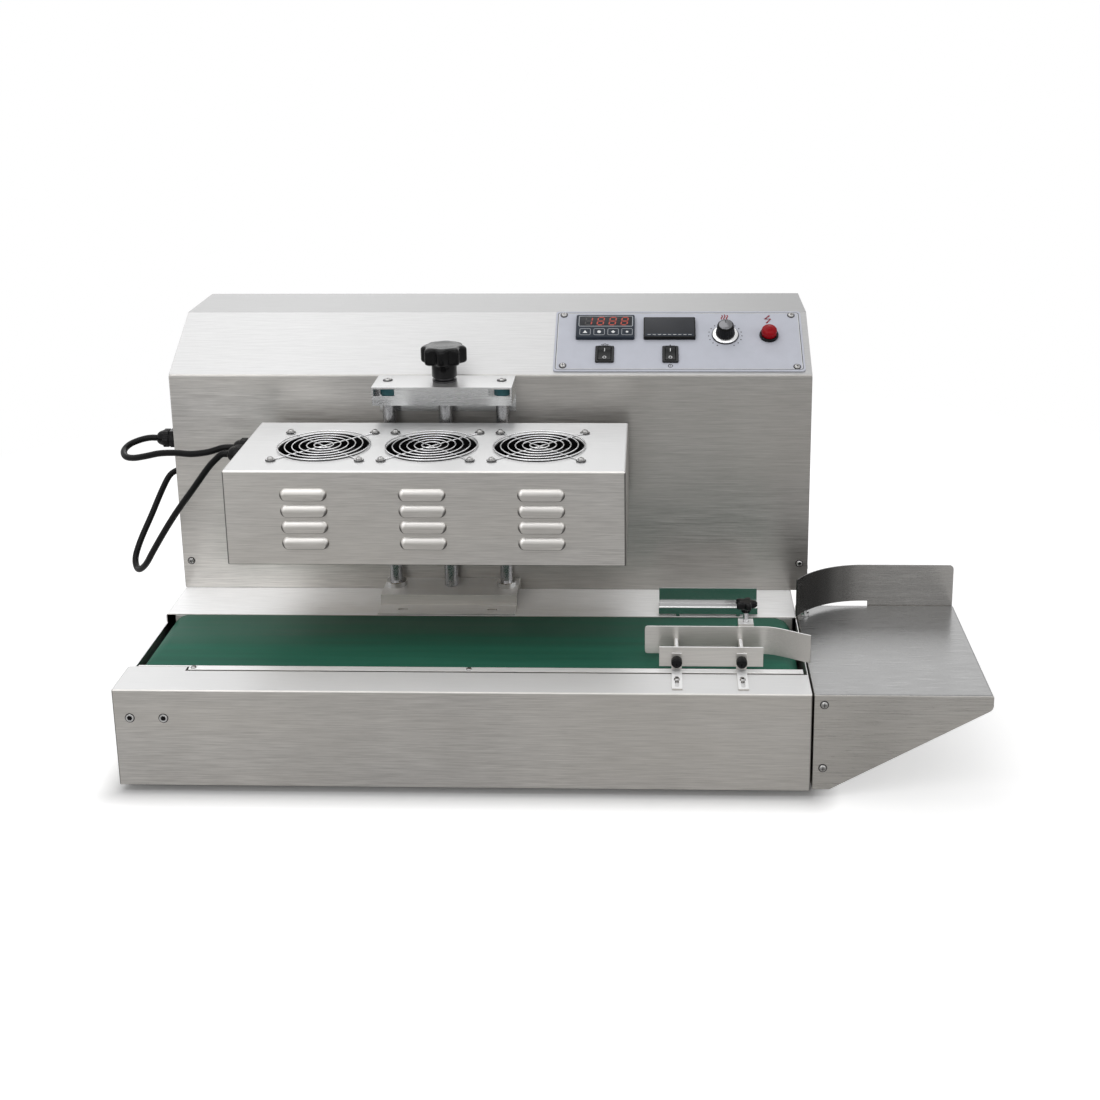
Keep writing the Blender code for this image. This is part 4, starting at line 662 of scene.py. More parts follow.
def metres(points, base=0.0):
    """A profile given in millimetres above a base, in metres. A radius may be a function, which stays as it is."""
    return [(radius if callable(radius) else radius * MM, base + height * MM) for radius, height in points]


def disc(radius, low, high, segments=32, chamfer=0.0):
    """A plain turned disc or rod, with its ends chamfered."""
    profile = [(0, low), (radius - chamfer, low), (radius, low + chamfer)]
    profile += [(radius, high - chamfer), (radius - chamfer, high), (0, high)]
    if chamfer == 0:
        profile = [(0, low), (radius, low), (radius, high), (0, high)]
    return revolve(profile, segments)


def at(x, y, z):
    """A place without a turn."""
    return Matrix.Translation((x, y, z))


def along_axis(origin, axis):
    """The place of a turned piece whose own Z points along an axis."""
    turn = Vector((0, 0, 1)).rotation_difference(Vector(axis)).to_matrix().to_4x4()
    return Matrix.Translation(Vector(origin)) @ turn


def hexagon(flats):
    """The radius of a hexagon of this size across its flats, as a function of the angle."""
    sixth = math.pi / 3
    return lambda angle: flats / 2 / math.cos((angle + sixth / 2) % sixth - sixth / 2)


def lobed(mean, swing, count):
    """A wavy radius."""
    return lambda angle: mean + swing * math.cos(count * angle)


def on_slope(x, along, out=0.0):
    """A place on the sloping front: its X runs right, its Y up the slope and its Z outwards."""
    up = Vector((0, math.cos(SLOPE_TILT), math.sin(SLOPE_TILT)))
    outward = Vector((0, -math.sin(SLOPE_TILT), math.cos(SLOPE_TILT)))
    origin = Vector((x, CABINET_FRONT, CABINET_FOLD)) + up * along + outward * out
    return Matrix.Translation(origin) @ Matrix.Rotation(SLOPE_TILT, 4, "X")


def racetrack(start, stop, middle, radius, steps):
    """A closed outline of two half circles joined by straight runs."""
    outline = []
    for centre, first in ((stop, -math.pi / 2), (start, math.pi / 2)):
        for k in range(steps + 1):
            angle = first + math.pi * k / steps
            outline.append((centre + radius * math.cos(angle), middle + radius * math.sin(angle)))
    return outline


def rounded_rectangle(width, height, radius, steps=5):
    """A rectangle with round corners, about the origin."""
    outline = []
    for cx, cy, first in ((1, 1, 0), (-1, 1, 1), (-1, -1, 2), (1, -1, 3)):
        centre = (cx * (width / 2 - radius), cy * (height / 2 - radius))
        for k in range(steps + 1):
            angle = math.pi / 2 * (first + k / steps)
            outline.append((centre[0] + radius * math.cos(angle), centre[1] + radius * math.sin(angle)))
    return outline


def inset_plate(width, height, radius, low, high, edge=0.6 * MM):
    """A plate with round corners whose front edge is rounded."""
    loops = []
    for inset, z in ((0, low), (0, high - edge), (edge * 0.3, high - edge * 0.3), (edge, high)):
        outline = rounded_rectangle(width - 2 * inset, height - 2 * inset, max(radius - inset, 0.1 * MM))
        loops.append([(u, v, z) for u, v in outline])
    return skin(loops)


def frame_strip(width, height, radius, stroke, low, high):
    """A raised outline with round corners."""
    outer = rounded_rectangle(width, height, radius)
    inner = rounded_rectangle(width - 2 * stroke, height - 2 * stroke, max(radius - stroke, 0.1 * MM))
    corners = ((outer, low), (outer, high), (inner, high), (inner, low))
    return skin([[(u, v, z) for u, v in outline] for outline, z in corners], closed=True)


def thicken(path, thickness):
    """The outline of a folded sheet: one face follows the path and the other lies to its left."""
    points = [Vector(point) for point in path]
    normals = []
    for first, second in zip(points, points[1:]):
        along = (second - first).normalized()
        normals.append(Vector((-along.y, along.x)))
    other = []
    for i, point in enumerate(points):
        before = normals[max(i - 1, 0)]
        after = normals[min(i, len(normals) - 1)]
        mitre = (before + after).normalized()
        other.append(point + mitre * (thickness / mitre.dot(before)))
    return [tuple(point) for point in points + other[::-1]]


def tube(path, radius, sides):
    """A round wire or cable along points."""
    points = [Vector(point) for point in path]
    loops = []
    across = None
    for i, point in enumerate(points):
        before = points[max(i - 1, 0)]
        after = points[min(i + 1, len(points) - 1)]
        along = (after - before).normalized()
        if across is None:
            across = along.orthogonal().normalized()
        across = (across - along * across.dot(along)).normalized()
        other = along.cross(across)
        turns = [TURN * k / sides for k in range(sides)]
        loops.append([point + (across * math.cos(turn) + other * math.sin(turn)) * radius for turn in turns])
    return skin(loops)


# Geometry Nodes


def start_group(name, sockets):
    """A new geometry group with these inputs between its geometry and its finish, and what they give."""
    tree = bpy.data.node_groups.new(name, "GeometryNodeTree")
    tree.is_modifier = True
    for label, kind in (("Geometry", "Geometry"), *sockets, ("Finish", "Material")):
        tree.interface.new_socket(label, in_out="INPUT", socket_type=f"NodeSocket{kind}")
    tree.interface.new_socket("Geometry", in_out="OUTPUT", socket_type="NodeSocketGeometry")
    return tree, node(tree, "NodeGroupInput").outputs


def end_group(tree, geometry, finish):
    """Gives a group's geometry its finish and puts it out."""
    painted = node(tree, "GeometryNodeSetMaterial", {"Geometry": geometry, "Material": finish})
    node(tree, "NodeGroupOutput", {"Geometry": painted.outputs[0]})
    return tree


def scatter_tree():
    """Puts a part on each point of a mesh, turned to the point's axis, as real geometry."""
    name = "parts on points"
    if name in bpy.data.node_groups:
        return bpy.data.node_groups[name]
    tree, given = start_group(name, [("Part", "Object")])
    part = node(tree, "GeometryNodeObjectInfo", {"Object": given["Part"]}).outputs["Geometry"]
    axis = node(tree, "GeometryNodeInputNamedAttribute", {"Name": "axis"}, data_type="FLOAT_VECTOR")
    spin = node(tree, "GeometryNodeInputNamedAttribute", {"Name": "spin"}, data_type="FLOAT")
    aim = node(tree, "FunctionNodeAlignRotationToVector", {"Vector": axis.outputs[0]}, axis="Z")
    roll = node(tree, "FunctionNodeAxisAngleToRotation", {"Axis": (0, 0, 1), "Angle": spin.outputs[0]})
    inputs = {"Rotation": aim.outputs[0], "Rotate By": roll.outputs[0]}
    turn = node(tree, "FunctionNodeRotateRotation", inputs, rotation_space="LOCAL")
    inputs = {"Points": given["Geometry"], "Instance": part, "Rotation": turn.outputs[0]}
    copies = node(tree, "GeometryNodeInstanceOnPoints", inputs)
    real = node(tree, "GeometryNodeRealizeInstances", {"Geometry": copies.outputs[0]})
    return end_group(tree, real.outputs[0], given["Finish"])


def rings_tree():
    """Concentric wire rings about the origin, as real geometry."""
    name = "wire rings"
    if name in bpy.data.node_groups:
        return bpy.data.node_groups[name]
    sockets = [("Rings", "Int"), ("Outer", "Float"), ("Step", "Float"), ("Wire", "Float")]
    tree, given = start_group(name, sockets)
    spots = node(tree, "GeometryNodeMeshLine", {"Count": given["Rings"], "Offset": (0, 0, 0)})
    circle = node(tree, "GeometryNodeCurvePrimitiveCircle", {"Resolution": 72, "Radius": 1.0}, mode="RADIUS")
    index = node(tree, "GeometryNodeInputIndex").outputs[0]
    radius = worked(tree, "SUBTRACT", given["Outer"], worked(tree, "MULTIPLY", index, given["Step"]))
    inputs = {"Points": spots.outputs[0], "Instance": circle.outputs[0], "Scale": radius}
    rings = node(tree, "GeometryNodeInstanceOnPoints", inputs)
    real = node(tree, "GeometryNodeRealizeInstances", {"Geometry": rings.outputs[0]})
    section = node(tree, "GeometryNodeCurvePrimitiveCircle", {"Resolution": 8, "Radius": given["Wire"]}, mode="RADIUS")
    swept = node(tree, "GeometryNodeCurveToMesh", {"Curve": real.outputs[0], "Profile Curve": section.outputs[0]})
    return end_group(tree, swept.outputs[0], given["Finish"])


def set_inputs(modifier, values):
    """Sets a tree's named inputs on its modifier."""
    for item in modifier.node_group.interface.items_tree:
        if item.item_type == "SOCKET" and item.in_out == "INPUT" and item.name in values:
            modifier[item.identifier] = values[item.name]


def scatter(name, part, spots, finish, body="base"):
    """Copies of a part at (place, axis, spin) spots, made by Geometry Nodes, as one piece."""
    source = add_object("source", part, finish)
    mesh = bpy.data.meshes.new(name)
    mesh.from_pydata([tuple(spot[0]) for spot in spots], [], [])
    mesh.attributes.new("axis", "FLOAT_VECTOR", "POINT")
    mesh.attributes.new("spin", "FLOAT", "POINT")
    for item, spot in zip(mesh.attributes["axis"].data, spots):
        item.vector = spot[1]
    for item, spot in zip(mesh.attributes["spin"].data, spots):
        item.value = spot[2]
    thing = linked(name, mesh)
    modifier = thing.modifiers.new("parts", "NODES")
    modifier.node_group = scatter_tree()
    set_inputs(modifier, {"Part": source, "Finish": FINISHES[finish]})
    bake(thing)
    bpy.data.objects.remove(source, do_unlink=True)
    if not thing.data.materials:
        thing.data.materials.append(FINISHES[finish])
    return fit(thing, body=body)


# Small parts that repeat


def cross_recess(arm, waist):
    """The radius of a cross-shaped recess."""
    return lambda angle: arm if abs((angle + math.pi / 4) % (math.pi / 2) - math.pi / 4) < 0.25 else waist


def pan_screw(radius):
    """A domed head with a cross recess."""
    profile = [
        (0, -radius * 0.5),
        (radius, -radius * 0.5),
        (radius, radius * 0.12),
        (radius * 0.93, radius * 0.32),
        (radius * 0.75, radius * 0.5),
        (radius * 0.62, radius * 0.56),
        (cross_recess(radius * 0.58, radius * 0.2), radius * 0.57),
        (cross_recess(radius * 0.46, radius * 0.16), radius * 0.05),
        (0, radius * 0.02),
    ]
    return revolve(profile, 32)


def hex_nut(flats, height, bore):
    """A chamfered nut with a stub of thread in it."""
    nut = hexagon(flats)
    profile = [
        (0, 0),
        (lambda angle: min(nut(angle), flats * 0.52), 0),
        (nut, height * 0.1),
        (nut, height * 0.88),
        (lambda angle: min(nut(angle), flats * 0.52), height),
        (bore, height),
        (bore, height * 1.25),
        (bore * 0.86, height * 1.35),
        (0, height * 1.35),
    ]
    return revolve(profile, 24)


# The operators


class MakeStage(bpy.types.Operator):
    """Sets the camera, the white floor and the soft lights"""

    bl_idname = "sealer.stage"
    bl_label = "Stage"

    CAMERA_PLACE = (0.1205, -1.818, 0.948)
    CAMERA_TURNS = (-1.92, 14.05, 0.49)
    CAMERA_LENS = 49.68
    CAMERA_SHIFT = (-0.05, -0.2)
    # How far the painted contact shadow reaches round the base, where the floor's glow is dimmed, and between which
    # distances the floor turns plain white
    SHADOW_REACH = 0.035
    FADE = (0.95, 1.5)

    def execute(self, context):
        values = context.scene.sealer_stage
        context.scene.view_settings.view_transform = "Standard"
        self.camera(context)
        self.floor(values)
        self.world(context, values)
        self.lamp("key", (-0.5, 0.35, 1.95), (-0.4, 0.05, 0.2), (1.9, 1.5), values.key_strength)
        self.lamp("fill", (-1.5, -2.3, 1.5), (0.0, 0.0, 0.25), (1.6, 1.3), values.fill_strength)
        self.lamp("side", (2.1, -1.2, 1.3), (0.1, 0.0, 0.2), (1.2, 1.2), values.fill_strength * 0.6)
        self.lamp("strip", (-0.1, -1.25, 2.2), (0.0, -0.2, 0.2), (3.4, 0.28), values.strip_strength)
        self.lamp("back", (-0.1, 1.7, 1.15), (0.0, -0.1, 0.3), (2.6, 0.7), values.back_strength)
        return {"FINISHED"}

    def camera(self, context):
        yaw, pitch, roll = (math.radians(angle) for angle in self.CAMERA_TURNS)
        forward = Vector((math.sin(yaw) * math.cos(pitch), math.cos(yaw) * math.cos(pitch), -math.sin(pitch)))
        level = Vector((math.cos(yaw), -math.sin(yaw), 0))
        across = math.cos(roll) * level + math.sin(roll) * forward.cross(level)
        data = bpy.data.cameras.new("camera")
        data.sensor_width = 36
        data.lens = self.CAMERA_LENS
        data.shift_x, data.shift_y = self.CAMERA_SHIFT
        data.clip_end = 100
        camera = linked("camera", data)
        up = -forward.cross(across)
        turned = Matrix((across, up, -forward)).transposed().to_4x4()
        camera.matrix_world = Matrix.Translation(self.CAMERA_PLACE) @ turned
        context.scene.camera = camera

    def lamp(self, name, place, target, size, power):
        data = bpy.data.lights.new(name, "AREA")
        data.shape = "RECTANGLE"
        data.size, data.size_y = size
        data.energy = power
        lamp = linked(name, data)
        aim = (Vector(target) - Vector(place)).to_track_quat("-Z", "Y")
        lamp.matrix_world = Matrix.Translation(place) @ aim.to_matrix().to_4x4()

    def seen(self, tree):
        """1 for the rays that show the background: those of the camera, of gloss and of glass."""
        rays = node(tree, "ShaderNodeLightPath").outputs
        return rays["Is Camera Ray"], worked(tree, "ADD", rays["Is Glossy Ray"], rays["Is Transmission Ray"])

    def floor(self, values):
        bm = bmesh.new()
        bmesh.ops.create_grid(bm, x_segments=1, y_segments=1, size=30)
        mesh = bpy.data.meshes.new("floor")
        bm.to_mesh(mesh)
        bm.free()
        floor = linked("floor", mesh)
        made = bpy.data.materials.new("white floor")
        made.use_nodes = True
        tree = made.node_tree
        tree.nodes.remove(tree.nodes["Principled BSDF"])
        direct, mirror = self.seen(tree)
        dimmed = worked(tree, "MULTIPLY", mirror, values.floor_in_metal)
        shown = worked(tree, "ADD", direct, dimmed)
        near_glow = worked(tree, "MULTIPLY", direct, values.floor_glow)
        tint = mixed(tree, mirror, (0.86, 0.86, 0.86), (0.72, 0.715, 0.71))
        paint = node(tree, "ShaderNodeBsdfDiffuse", {"Color": tint}).outputs[0]
        place = node(tree, "ShaderNodeTexCoord").outputs["Object"]
        # Painted contact shadow: the floor's glow is dimmed in and round the base's footprint, so that the lamps'
        # shadow shows there.
        middle = (BASE_LOW + BASE_HIGH) / 2
        half = (BASE_HIGH - BASE_LOW) / 2
        offset = vector_worked(tree, "SUBTRACT", place, (middle.x, middle.y, 0))
        offset = vector_worked(tree, "ABSOLUTE", offset)
        offset = vector_worked(tree, "SUBTRACT", offset, (half.x, half.y, 0))
        offset = vector_worked(tree, "MAXIMUM", offset, (0, 0, 0))
        clear = vector_worked(tree, "LENGTH", offset)
        open_floor = ranged(tree, clear, 0.1, 1, 0, self.SHADOW_REACH)
        near_glow = worked(tree, "MULTIPLY", near_glow, open_floor)
        glow = node(tree, "ShaderNodeEmission", {"Strength": near_glow}).outputs[0]
        near = node(tree, "ShaderNodeAddShader", {0: paint, 1: glow}).outputs[0]
        full = node(tree, "ShaderNodeEmission", {"Strength": shown}).outputs[0]
        distance = vector_worked(tree, "LENGTH", place)
        fade = ranged(tree, distance, 0, 1, *self.FADE)
        rays = worked(tree, "ADD", direct, mirror)
        away = worked(tree, "MULTIPLY", fade, rays)
        mix = node(tree, "ShaderNodeMixShader", {0: away, 1: near, 2: full}).outputs[0]
        tree.links.new(mix, tree.nodes["Material Output"].inputs["Surface"])
        mesh.materials.append(made)

    def world(self, context, values):
        world = bpy.data.worlds.new("white surroundings")
        context.scene.world = world
        world.use_nodes = True
        tree = world.node_tree
        direct, mirror = self.seen(tree)
        in_metal = worked(tree, "MULTIPLY", mirror, values.sky_in_metal)
        shown = worked(tree, "ADD", direct, in_metal)
        power = worked(tree, "MAXIMUM", shown, values.sky)
        feed(tree, tree.nodes["Background"], {"Strength": power, "Color": (1, 1, 1, 1)})


class MakeCables(bpy.types.Operator):
    """Makes the two cables between the cabinet and the head, and their glands"""

    bl_idname = "sealer.cables"
    bl_label = "Cables and glands"

    UPPER = (
        (-530.3, 58, 333), (-540, 58, 333), (-552, 55.5, 331), (-563, 46, 328), (-566, 31, 324.5),
        (-559, 15, 322), (-545, 4, 323.5), (-526, -5, 329), (-505, -13, 335.5), (-482, -21, 339),
        (-460, -27, 339.5), (-437, -31, 343.5), (-420, -32, 349), (-411, -32, 350), (-404.3, -32, 350),
    )
    LOWER = (
        (-530.3, 145, 258), (-536, 145, 258), (-545.5, 138, 252.5), (-552, 120, 237), (-559.5, 94, 212),
        (-568, 68, 186), (-570, 48, 168), (-561, 30, 160), (-545, 14, 173), (-527, 0, 200), (-505, -14, 233),
        (-483, -27, 264), (-455, -43, 300), (-432, -54, 330), (-420, -57, 343), (-411.5, -58, 350),
        (-404.3, -58, 350),
    )

    def execute(self, context):
        values = context.scene.sealer_cables
        for level, points in (("upper", self.UPPER), ("lower", self.LOWER)):
            at_cabinet = self.gland(f"cabinet_gland_{level}", values.nut_flats, False)
            self.gland(f"head_gland_{level}", values.nut_flats, True)
            route = self.smooth([Vector(point) * MM for point in points], 3 * MM)
            cable = add_object(f"{level}_cable", tube(route, values.radius, 20), "cable sheath")
            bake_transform(cable)
            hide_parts(f"cable_{level}")
        return {"FINISHED"}

    def smooth(self, points, spacing):
        """Evenly spaced points along a smooth curve through the given ones."""
        ends = [points[0] * 2 - points[1], *points, points[-1] * 2 - points[-2]]
        fine = []
        for i in range(1, len(ends) - 2):
            before, start, stop, after = ends[i - 1 : i + 3]
            for k in range(12):
                t = k / 12
                bend = 2 * start + (stop - before) * t
                bend += (2 * before - 5 * start + 4 * stop - after) * t**2
                bend += (3 * start - before - 3 * stop + after) * t**3
                fine.append(bend / 2)
        fine.append(points[-1])
        for _ in range(3):
            inner = [(a + 2 * b + c) / 4 for a, b, c in zip(fine, fine[1:], fine[2:])]
            fine = [fine[0], *inner, fine[-1]]
        lengths = [0.0]
        for first, second in zip(fine, fine[1:]):
            lengths.append(lengths[-1] + (second - first).length)
        count = round(lengths[-1] / spacing)
        route = []
        for k in range(count + 1):
            want = lengths[-1] * k / count
            i = next((j for j in range(1, len(fine)) if lengths[j] >= want - 1e-9), len(fine) - 1)
            part = (want - lengths[i - 1]) / (lengths[i] - lengths[i - 1])
            route.append(fine[i - 1].lerp(fine[i], part))
        return route

    def gland(self, source, flats, plated):
        """A cable gland: its lock nut, body, ribbed cap and rubber seal."""
        low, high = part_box(source)
        wall = high.x - 8 * MM
        place = along_axis((wall, (low.y + high.y) / 2, (low.z + high.z) / 2), (-1, 0, 0))
        nut = hexagon(flats)
        small = hexagon(flats - 1 * MM)

        def grip(angle):
            return small(angle) + 0.25 * MM * math.cos(24 * angle)

        lock = metres([(0, 0.3), (11.5, 0.3), (nut, 0.8), (nut, 5), (11.2, 5.4), (0, 5.4)])
        body = metres([
            (0, 5), (nut, 5), (nut, 9.4), (10.8, 10), (9.6, 10), (9.6, 11), (grip, 11), (grip, 18.4),
            (10.2, 19.4), (9.7, 21), (8.9, 23.4), (7.6, 25.4), (6.5, 26.6), (5.4, 26.9), (0, 26.4),
        ])
        thread = [disc(7.7 * MM, -8 * MM, 0.4 * MM, 32, 0.4 * MM)]
        cap = add_object(f"{source}_cap", [placed(revolve(body, 96), place)], "black plastic")
        fit(cap, source)
        finish = "gland nickel" if plated else "black plastic"
        ring = add_object(f"{source}_lock_nut", [placed(part, place) for part in [revolve(lock, 48), *thread]], finish)
        fit(ring, body=BODY_OF[source])
        return cap


class MakeBase(bpy.types.Operator):
    """Makes the base housing, its bottom plate and its feet"""

    bl_idname = "sealer.base"
    bl_label = "Base"

    FEET = [(x, y) for x in (-440 * MM, 237 * MM) for y in (-215 * MM, 215 * MM)]

    def execute(self, context):
        sheet = context.scene.sealer_sheet
        dress("base_shell", "base_housing", "base steel", sheet.edge, 3)
        inset = SHEET + GAP
        low = (BASE_LOW.x + inset, BASE_LOW.y + inset, BASE_LOW.z + GAP)
        high = (BASE_HIGH.x - inset, BASE_HIGH.y - inset, BASE_LOW.z + GAP + 2 * MM)
        plate = add_object("bottom_plate", soft_box(low, high, 0.4 * MM, 2), "brushed steel")
        fit(plate, "base_bottom")
        foot = metres([(0, 0), (14.5, 0), (16.5, 0.6), (18, 2.4), (17.4, 5), (15.4, 10.2), (0, 10.2)])
        spots = [(Vector((x, y, 0)), (0, 0, 1), 0.0) for x, y in self.FEET]
        scatter("rubber_feet", revolve(foot, 40), spots, "foot rubber", "base")
        return {"FINISHED"}


class MakeConveyor(bpy.types.Operator):
    """Makes the belt, its rollers, side plates and bed"""

    bl_idname = "sealer.conveyor"
    bl_label = "Conveyor"

    RIBS, RIB_START, RIB_STEP = 11, 0.02, 0.0065

    def execute(self, context):
        low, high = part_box("conveyor_belt")
        radius = (high.z - low.z) / 2
        centre = (high.z + low.z) / 2
        loops = []
        for y, inset in ((low.y, 0.3), (low.y + 0.3 * MM, 0), (high.y - 0.3 * MM, 0), (high.y, 0.3)):
            outline = racetrack(low.x + radius, high.x - radius, centre, radius - inset * MM, 24)
            loops.append([(u, y, v) for u, v in outline])
        for y in (high.y, low.y):
            outline = racetrack(low.x + radius, high.x - radius, centre, radius - 1.95 * MM, 24)
            loops.append([(u, y, v) for u, v in outline])
        belt = add_object("belt", skin(loops, closed=True), "belt green", 50)
        fit(belt, "conveyor_belt")
        self.roller("idler_roller")
        self.roller("drive_roller")
        dress("front_side_plate", "conveyor_side_front", "top steel", 0.35 * MM)
        dress("rear_side_plate", "conveyor_side_rear", "brushed steel", 0.35 * MM)
        dress("bed_plate", "belt_bed", "brushed steel", 0.4 * MM)
        dress("drive_unit", "gear_motor", "machined aluminium", 1.2 * MM, 3)
        self.motor_fins()
        return {"FINISHED"}

    def roller(self, name):
        """A roller on its shaft, with grooves near its ends."""
        low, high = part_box(name)
        radius = (high.z - low.z) / 2
        shaft = 6 * MM
        start, stop = (corner.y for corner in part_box("conveyor_belt"))
        start, stop = start + 1.5 * MM, stop - 1.5 * MM
        profile = [(0, low.y), (shaft - 0.5 * MM, low.y), (shaft, low.y + 0.5 * MM), (shaft, start)]
        profile += [(radius - 3 * MM, start), (radius - 3 * MM, start + 1 * MM), (radius - 1 * MM, start + 1 * MM)]
        profile += [(radius - 1 * MM, start), (radius, start + 0.6 * MM), (radius, stop - 0.6 * MM)]
        profile += [(radius - 1 * MM, stop), (radius - 1 * MM, stop - 1 * MM), (radius - 3 * MM, stop - 1 * MM)]
        profile += [(radius - 3 * MM, stop), (shaft, stop), (shaft, high.y - 0.5 * MM)]
        profile += [(shaft - 0.5 * MM, high.y), (0, high.y)]
        centre = ((low.x + high.x) / 2, 0, (low.z + high.z) / 2)
        turned = placed(revolve(profile, 64), along_axis(centre, (0, 1, 0)))
        fit(add_object(f"{name}_turned", turned, "dark steel"), name)

    def motor_fins(self):
        """Cooling ribs round the motor's case."""
        centre = Vector((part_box("gear_motor")[1].x - 35 * MM, 0, 75 * MM))
        rib = revolve(metres([(34, 0), (36.2, 0.3), (36.2, 1.6), (34, 1.9)]), 48, ring=True)
        runs = [self.RIB_START + self.RIB_STEP * k for k in range(self.RIBS)]
        spots = [(centre + Vector((0, run, 0)), (0, 1, 0), 0.0) for run in runs]
        scatter("motor_ribs", rib, spots, "machined aluminium", "base")


class MakeCabinet(bpy.types.Operator):
    """Makes the cabinet, its vented back and its mains inlet"""

    bl_idname = "sealer.cabinet"
    bl_label = "Cabinet"

    # The inlet's pins: X and Z from its middle in millimetres, and where they start and end in Y
    PINS = ((-7, -1.5), (7, -1.5), (0, 2.5))
    PIN_START, PIN_STOP = 0.2315, 0.2475

    def execute(self, context):
        sheet = context.scene.sealer_sheet
        dress("cabinet_body", "cabinet_shell", "cabinet steel", sheet.edge, 2, 40)
        dress("back_panel", "cabinet_rear_panel", "brushed steel", 0.3 * MM)
        dress("inlet_housing", "mains_inlet", "switch plastic", 0.5 * MM)
        middle = middle_of("mains_inlet")
        pins = []
        for dx, dz in self.PINS:
            spot = Vector((middle.x + dx * MM, 0, middle.z + dz * MM))
            start = (spot.x - 1 * MM, self.PIN_START, spot.z - 2 * MM)
            pins.append(soft_box(start, (spot.x + 1 * MM, self.PIN_STOP, spot.z + 2 * MM), 0.4 * MM, 2))
        fit(add_object("inlet_pins", pins, "bright steel"), body="base")
        dress("power_module", "inverter_module", "machined aluminium", 0.5 * MM)
        return {"FINISHED"}


class MakeLift(bpy.types.Operator):
    """Makes the bracket, platform, rods, lead screw, star knob and carriage"""

    bl_idname = "sealer.lift"
    bl_label = "Lift"

    # Of the knob's rim: inset, swing and height in millimetres
    LOBES = (
        (2, 2.2, 0.4), (0.6, 2.7, 1.4), (0, 3, 3.4), (0, 3, 17),
        (0, 2.5, 18.6), (0.6, 1.9, 20), (1.8, 1.2, 21.2), (3.6, 0.6, 22),
    )

    def execute(self, context):
        values = context.scene.sealer_lift
        edge = context.scene.sealer_sheet.edge
        dress("upper_bracket", "lift_bracket", "bracket steel", 0.2 * MM)
        sleeve = metres([(11.9, 0.1), (15.3, 0.1), (15.3, 2.2), (12.4, 2.9), (12.4, 5.5), (11.9, 5.5)])
        sleeve = placed(revolve(sleeve, 48, ring=True), at(LIFT.x, LIFT.y, CABINET_FOLD))
        fit(add_object("collar_sleeve", sleeve, "dark steel"), body="base")
        dress("lower_platform", "lift_platform", "top steel", edge, 3)
        dress("head_carriage", "lift_carriage", "machined aluminium", 0.8 * MM, 3)
        for side, spot in zip(("left", "right"), ROD_SPOTS):
            low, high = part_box(f"guide_rod_{side}")
            rod = disc((high.x - low.x) / 2, low.z, high.z, 48, 0.8 * MM)
            rod = placed(rod, at(spot.x, spot.y, 0))
            fit(add_object(f"polished_rod_{side}", rod, "rod steel"), f"guide_rod_{side}")
        self.screw()
        self.knob(values)
        return {"FINISHED"}

    def screw(self):
        """The polished lift screw with its stepped journals."""
        low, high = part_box("lead_screw")
        start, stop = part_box("guide_rod_left")[0].z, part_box("guide_rod_left")[1].z
        profile = [(0, low.z), (5.2 * MM, low.z), (5.7 * MM, low.z + 0.5 * MM), (5.7 * MM, start), (8.2 * MM, start)]
        profile += [(9 * MM, start + 0.8 * MM), (9 * MM, stop - 0.8 * MM), (8.2 * MM, stop), (5.7 * MM, stop)]
        profile += [(5.7 * MM, high.z - 0.5 * MM), (5.2 * MM, high.z), (0, high.z)]
        turned = placed(revolve(profile, 64), at(LIFT.x, LIFT.y, 0))
        fit(add_object("polished_screw", turned, "rod steel"), "lead_screw")

    def knob(self, values):
        """The star knob with its lobes, its neck and the dished top."""
        low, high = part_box("star_knob")
        bottom, under = low.z, high.z - 22.5 * MM
        mean, count = values.knob_radius - 3 * MM, values.knob_lobes
        profile = metres([(0, 30), (6, 30), (6, 0), (15, 0), (15.8, 0.8)], bottom)
        profile += metres([(15.8, -4), (16.6, -1), (lobed(19 * MM, 0.6 * MM, count), 0)], under)
        for inset, swing, rise in self.LOBES:
            profile.append((lobed(mean - inset * MM, swing * MM, count), under + rise * MM))
        for inset, rise in ((6, 22.4), (9, 22.5), (11, 22.2)):
            profile.append((mean - inset * MM, under + rise * MM))
        profile.append((0, under + 21.6 * MM))
        knob = placed(revolve(profile, 12 * count), at(LIFT.x, LIFT.y, 0))
        fit(add_object("star_hand_knob", knob, "black plastic", 50), "star_knob")


